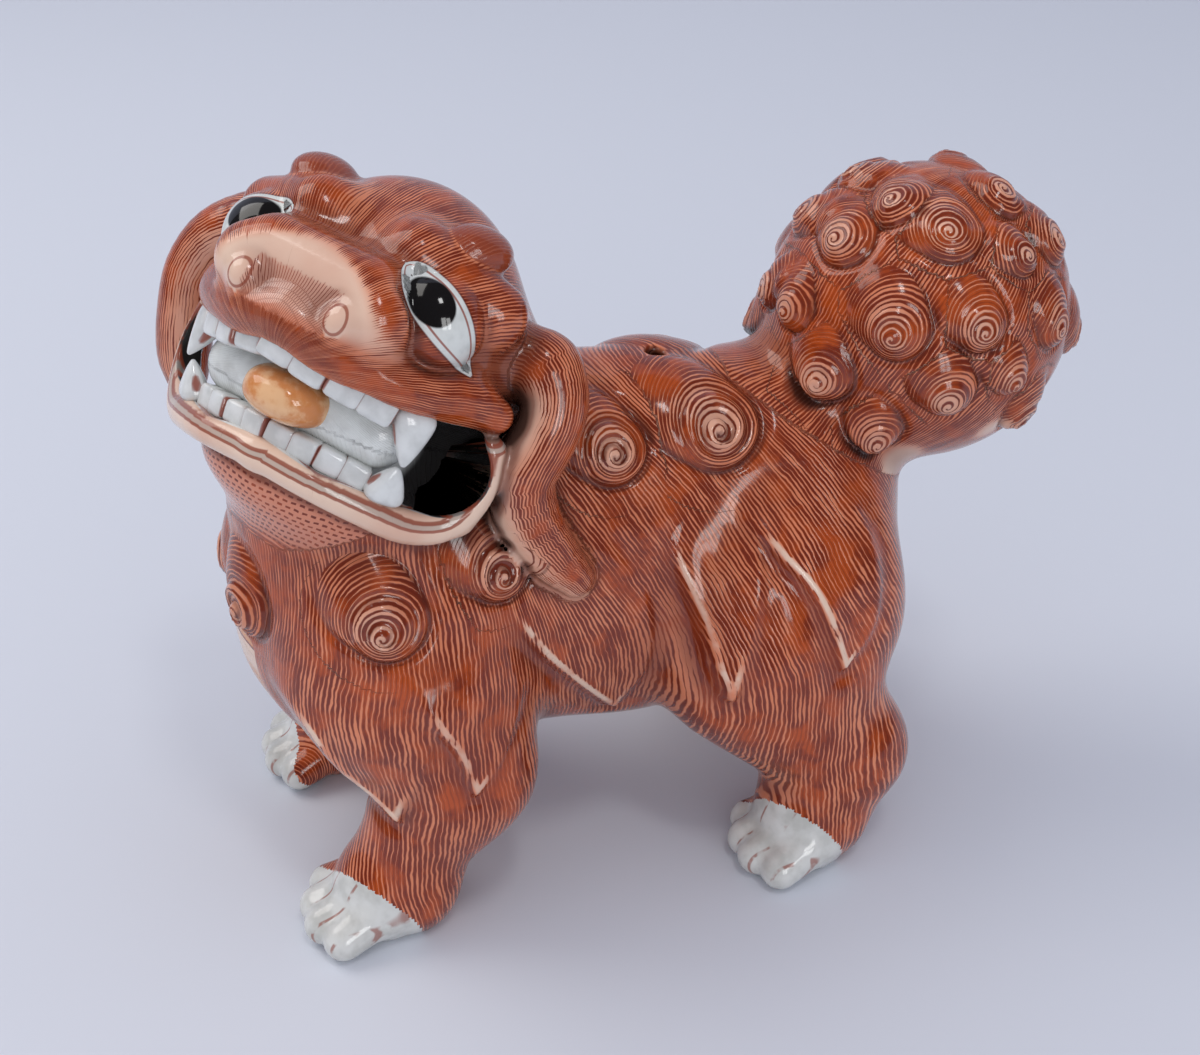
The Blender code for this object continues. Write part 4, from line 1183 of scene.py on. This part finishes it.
def coat_material():
    """Brushed iron-red hair over a cream glaze, with thicker and thinner enamel, and painted shade in its
    hollows.
    """
    p = Paint("iron_red_coat")
    patch = p.noise(0.16, 3.0, 0.6)
    fine = p.noise(0.8, 1.0)
    spiral, sweep, outer = curl_phase(p)
    in_curl = p.math("LESS_THAN", outer, 1.0)
    hair = p.attribute("hair") + (p.noise(0.22) - 0.5) * 1.3
    phase = hair * (1.0 - in_curl) + spiral * in_curl + (fine - 0.5) * 0.30
    core = p.span(outer, 0.8, 0.15)
    bare = bare_share(p, patch)
    stroke, across = brush_strokes(p, phase, patch, bare * 0.62 + core * 0.12)
    gap = p.mix(p.math("MAXIMUM", bare, core * 0.5), GAP, CREAM)
    gap = p.mix(p.span(p.noise(0.055, 3.0), 0.35, 0.7) * 0.35, gap, POOLED)
    gap = p.mix(p.attribute("stipple") * 0.5, gap, STIPPLE_GAP)
    ink = p.mix(p.span(patch, 0.45, 0.66), STROKE, POOLED)
    ink = p.mix(p.span(across, 0.25, 0.05) * 0.35, ink, DEEP)
    colour = shade_hollows(p, p.mix(stroke, gap, ink), outer, sweep)
    for paint in (paint_plates, paint_mouth, paint_marks):
        colour = paint(p, colour)
    height = fine * 0.4 - stroke * (in_curl * 1.2 + 0.4)
    return p.finish(colour, 0.16, height, 0.07)


def shade_hollows(p, colour, outer, sweep):
    """Enamel pools in the hollows and shade is painted there, near black as painted shadow in the deepest;
    painted shade also round the whorls and under the edges of the locks.
    """
    hollow = p.attribute("hollow")
    # painted shade in the hollows over pooled enamel, and painted shadow where they are deepest
    colour = p.mix(p.span(hollow, 0.96, 0.55) * 0.7, colour, HOLLOW_POOL_AND_SHADE)
    colour = p.mix(p.span(hollow, 0.6, 0.1) * 0.85, colour, HOLLOW_SHADOW)
    # a dark ring round each whorl, left off its sweep side: partly the curl's painted outline, partly painted
    # shade under its steep edge
    rim = p.line(outer - 1.03, 0.07, 0.02) * 0.5
    colour = p.mix(rim * (1.0 - sweep), colour, DEEP)
    # painted shadow in the recess just outside each lock's edge
    lock_edge = p.attribute("lock_edge")
    below = p.span(lock_edge, 0.1, 0.8) * p.span(lock_edge, 3.6, 1.2) * p.attribute("lock_share")
    return p.mix(below * 0.6, colour, STROKE)


def paint_plates(p, colour):
    """Cream plates down the chest, orange towards their lower edges, with dark red lines between them."""
    rung = p.math("FRACT", (p.split(p.place())[2] + 3.5) / 8.0)
    plate = p.mix(p.span(rung, 0.62, 0.35), CREAM, ORANGE)
    plate = p.mix(p.span(rung, 0.07, 0.03), plate, STROKE)
    return p.mix(p.span(p.attribute("plates"), 0.45, 0.6), colour, plate)


def paint_mouth(p, colour):
    """The mouth is left white, with painted shade in its deep corners; the lower lip has two red-brown lines."""
    inner = p.mix(p.span(p.noise(0.3), 0.4, 0.7), (0.74, 0.76, 0.73), (0.60, 0.61, 0.58))
    # painted shade in the deep corners of the mouth
    inner = p.mix(p.span(p.attribute("deep"), 0.1, 0.7), inner, MOUTH_CORNER_SHADE)
    colour = p.mix(p.span(p.attribute("mouth"), 0.4, 0.6), colour, inner)
    lip = p.attribute("lip")
    colour = p.mix(p.line(lip - 1.4, 0.5, 0.3) * 0.6, colour, LIP_GREY)
    for height in (0.95, 1.8):
        colour = p.mix(p.line(lip - height, 0.26, 0.12) * 0.85, colour, LINE)
    return colour


def paint_marks(p, colour):
    """The white round the eye inside its outline, and the lines round eyes, nostrils and buds."""
    eye = p.attribute("eye")
    colour = p.mix(p.span(eye, 0.08, -0.08), colour, eye_white(p))
    colour = p.mix(p.line(eye - 0.1, 0.25, 0.05) * 0.5, colour, DEEP)
    colour = eye_lining(p, colour)
    return p.mix(p.line(p.attribute("mark"), 0.22, 0.10) * 0.8, colour, LINE)


def eye_white(p):
    return p.mix(p.span(p.noise(0.5), 0.4, 0.7), (0.70, 0.72, 0.68), (0.60, 0.62, 0.58))


def eye_lining(p, colour):
    """The thin red-brown line that follows the eye's outline on its inside, and the black pupil."""
    colour = p.mix(p.line(p.attribute("eye") + 0.8, 0.2, 0.08) * 0.85, colour, LINE)
    return p.mix(p.span(p.attribute("pupil"), 1.0, 0.9), colour, BLACK)


def eye_material():
    p = Paint("painted_eye")
    return p.finish(eye_lining(p, eye_white(p)), 0.08)


def glaze_material(name, edges):
    """Bluish white glaze with red-brown lines along the pieces' sides."""
    p = Paint(name)
    cloud = p.noise(0.35, 3.0)
    base = p.mix(p.span(cloud, 0.35, 0.7), (0.71, 0.72, 0.70), (0.58, 0.59, 0.57))
    base = p.mix(p.span(abs(p.attribute("side")), *edges) * 0.9, base, LINE)
    return p.finish(base, 0.1, cloud, 0.03)


def paw_material():
    """White toe caps with broken red-brown lines between the toes, and painted shade in the hollows."""
    p = Paint("white_toe_glaze")
    cloud = p.noise(0.3, 3.0)
    base = p.mix(p.span(cloud, 0.35, 0.7), (0.67, 0.67, 0.63), (0.52, 0.52, 0.48))
    line = p.line(p.attribute("toes"), 0.26, 0.10) * p.span(p.noise(0.35), 0.45, 0.56)
    base = p.mix(line * 0.7, base, LINE)
    # painted shade in the paw's hollows
    base = p.mix(p.span(p.attribute("hollow"), 0.85, 0.3) * 0.5, base, (0.20, 0.15, 0.12))
    return p.finish(base, 0.12, cloud, 0.03)


def tongue_material():
    p = Paint("orange_tongue")
    cloud = p.noise(0.28, 4.0, 0.6)
    base = p.mix(p.span(cloud, 0.4, 0.62), (0.62, 0.23, 0.07), (0.78, 0.46, 0.24))
    return p.finish(base, 0.1, cloud, 0.04)


# ---- putting it together ----

def replaced_nodes():
    """Which CAD nodes each visible piece stands for."""
    hands = [hand for hand, _ in SIDES]
    curls = [f"{kind}_{hand}" for kind in CURL_KINDS for hand in hands]
    tail_curls = [f"tail_curl_{hand}_{n:02d}" for n in range(1, TAIL_CURLS + 1) for hand in hands]
    table = {"body_coat": [f"body_{hand}" for hand in hands] + curls,
             "tail_coat": [f"tail_{hand}" for hand in hands] + tail_curls,
             "head_coat": ["head", "lower_jaw"]}
    for part in ("upper_teeth", "lower_teeth", "tongue"):
        table[f"{part}_glaze"] = [part]
    for hand in hands:
        for part in ("ear", "horn_bud"):
            table[f"{part}_coat_{hand}"] = [f"{part}_{hand}"]
        for part in ("eyeball", "upper_fang", "lower_fang"):
            table[f"{part}_glaze_{hand}"] = [f"{part}_{hand}"]
        for which in LEGS:
            table[f"{which}_leg_coat_{hand}"] = [f"{which}_leg_{hand}"]
            table[f"{which}_paw_glaze_{hand}"] = [f"{which}_paw_{hand}"]
    return table


def dress(pieces):
    """Gives every piece its material and its body, and hides the CAD nodes that it stands for."""
    finishes = {"coat": (coat_material(), "red_enamel"),
                "eyeball": (eye_material(), "eye_glaze"),
                "paw": (paw_material(), "white_glaze"),
                "tongue": (tongue_material(), "orange_enamel"),
                "teeth": (glaze_material("white_tooth_glaze", (0.86, 0.95)), "white_glaze"),
                "fang": (glaze_material("white_fang_glaze", (0.96, 0.99)), "white_glaze")}
    nodes = replaced_nodes()
    for name, obj in pieces.items():
        material, slot = next(f for key, f in finishes.items() if key in name)
        obj.data.materials.append(material)
        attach(obj, "root")
        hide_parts(*nodes[name])


def build_stage():
    """A pale floor that curves up into a wall far behind the statue."""
    bend = [(0.9 + 0.5 * math.sin(a), 0.5 - 0.5 * math.cos(a)) for a in np.linspace(0.0, math.pi / 2, 24)]
    profile = [(-FLOOR_REACH, 0.0), *bend, (1.4, FLOOR_REACH)]
    back = Vector((math.sin(AZIMUTH), -math.cos(AZIMUTH)))
    side = Vector((-back.y, back.x))
    points = []
    for across in (-FLOOR_REACH, FLOOR_REACH):
        points += [(-back.x * d + side.x * across, -back.y * d + side.y * across, z) for d, z in profile]
    count = len(profile)
    faces = [(i, i + 1, count + i + 1, count + i) for i in range(count - 1)]
    mesh = bpy.data.meshes.new("floor")
    mesh.from_pydata(points, [], faces)
    mesh.shade_smooth()
    floor = bpy.data.objects.new("floor", mesh)
    bpy.context.scene.collection.objects.link(floor)
    p = Paint("pale_paper")
    for name, value in (("Base Color", FLOOR_COLOUR), ("Roughness", 0.9), ("Specular IOR Level", 0.1)):
        p.put(p.shader.inputs[name], value)
    mesh.materials.append(p.material)


def aim(obj):
    """Turns a light or a camera towards the statue and puts it in the scene."""
    obj.rotation_mode = "QUATERNION"
    obj.rotation_quaternion = (obj.location - TARGET).to_track_quat("Z", "Y")
    bpy.context.scene.collection.objects.link(obj)


def build_camera():
    """The camera, in front of the dog's left side and above it."""
    data = bpy.data.cameras.new("camera")
    data.sensor_width = 36.0
    data.lens = data.sensor_width / 2 / math.tan(FIELD_OF_VIEW / 2)
    data.clip_start = 0.01
    camera = bpy.data.objects.new("camera", data)
    away = Vector((math.sin(AZIMUTH) * math.cos(ELEVATION), -math.cos(AZIMUTH) * math.cos(ELEVATION),
                   math.sin(ELEVATION)))
    camera.location = TARGET + away * DISTANCE
    aim(camera)
    bpy.context.scene.camera = camera


def soft_light(name, place, size, power, colour=(1.0, 1.0, 1.0)):
    """A rectangular light; its place is counted from the camera's target, in metres."""
    data = bpy.data.lights.new(name, "AREA")
    data.shape = "RECTANGLE"
    data.size, data.size_y = size
    data.energy = power
    data.color = colour
    light = bpy.data.objects.new(name, data)
    light.location = TARGET + place
    aim(light)
    return light


def build_lights():
    """A window at the upper left, one overhead, a weak fill from the camera's side and an even sky."""
    away = Vector((math.sin(AZIMUTH), -math.cos(AZIMUTH), 0.0))
    right = Vector((math.cos(AZIMUTH), math.sin(AZIMUTH), 0.0))
    rise = Vector((0.0, 0.0, 1.0))
    soft_light("window", right * -0.55 + away * -0.18 + rise * 0.72, (0.5, 0.6), 2.7, (1.0, 0.97, 0.93))
    soft_light("top_window", right * 0.15 + away * 0.35 + rise * 0.9, (0.12, 0.18), 0.9)
    for number, shift in enumerate((-0.10, 0.10)):       # seen only as reflections on the flank
        place = right * (0.38 + shift) + away * 0.85 + rise * 0.32
        pane = soft_light(f"far_pane_{number}", place, (0.15, 0.42), 1.3)
        pane.visible_diffuse = False
    fill = soft_light("fill", away * 0.7 + rise * 0.22, (0.9, 0.4), 0.9)
    fill.visible_glossy = False
    build_sky()


def build_sky():
    """An even sky, which the glaze mirrors as a darker room."""
    world = bpy.data.worlds.new("sky")
    world.use_nodes = True
    background = world.node_tree.nodes["Background"]
    background.inputs["Color"].default_value = (0.86, 0.88, 1.0, 1.0)
    rays = world.node_tree.nodes.new("ShaderNodeLightPath")
    dimmer = world.node_tree.nodes.new("ShaderNodeMapRange")
    dimmer.inputs["To Min"].default_value = 0.74
    dimmer.inputs["To Max"].default_value = 0.10
    world.node_tree.links.new(rays.outputs["Is Glossy Ray"], dimmer.inputs["Value"])
    world.node_tree.links.new(dimmer.outputs[0], background.inputs["Strength"])
    bpy.context.scene.world = world
    bpy.context.scene.view_settings.view_transform = "Standard"


clay, curls = model()
pieces = split_skin(clay, curls)
pieces.update(mouth_pieces())
dress(pieces)
build_stage()
build_camera()
build_lights()
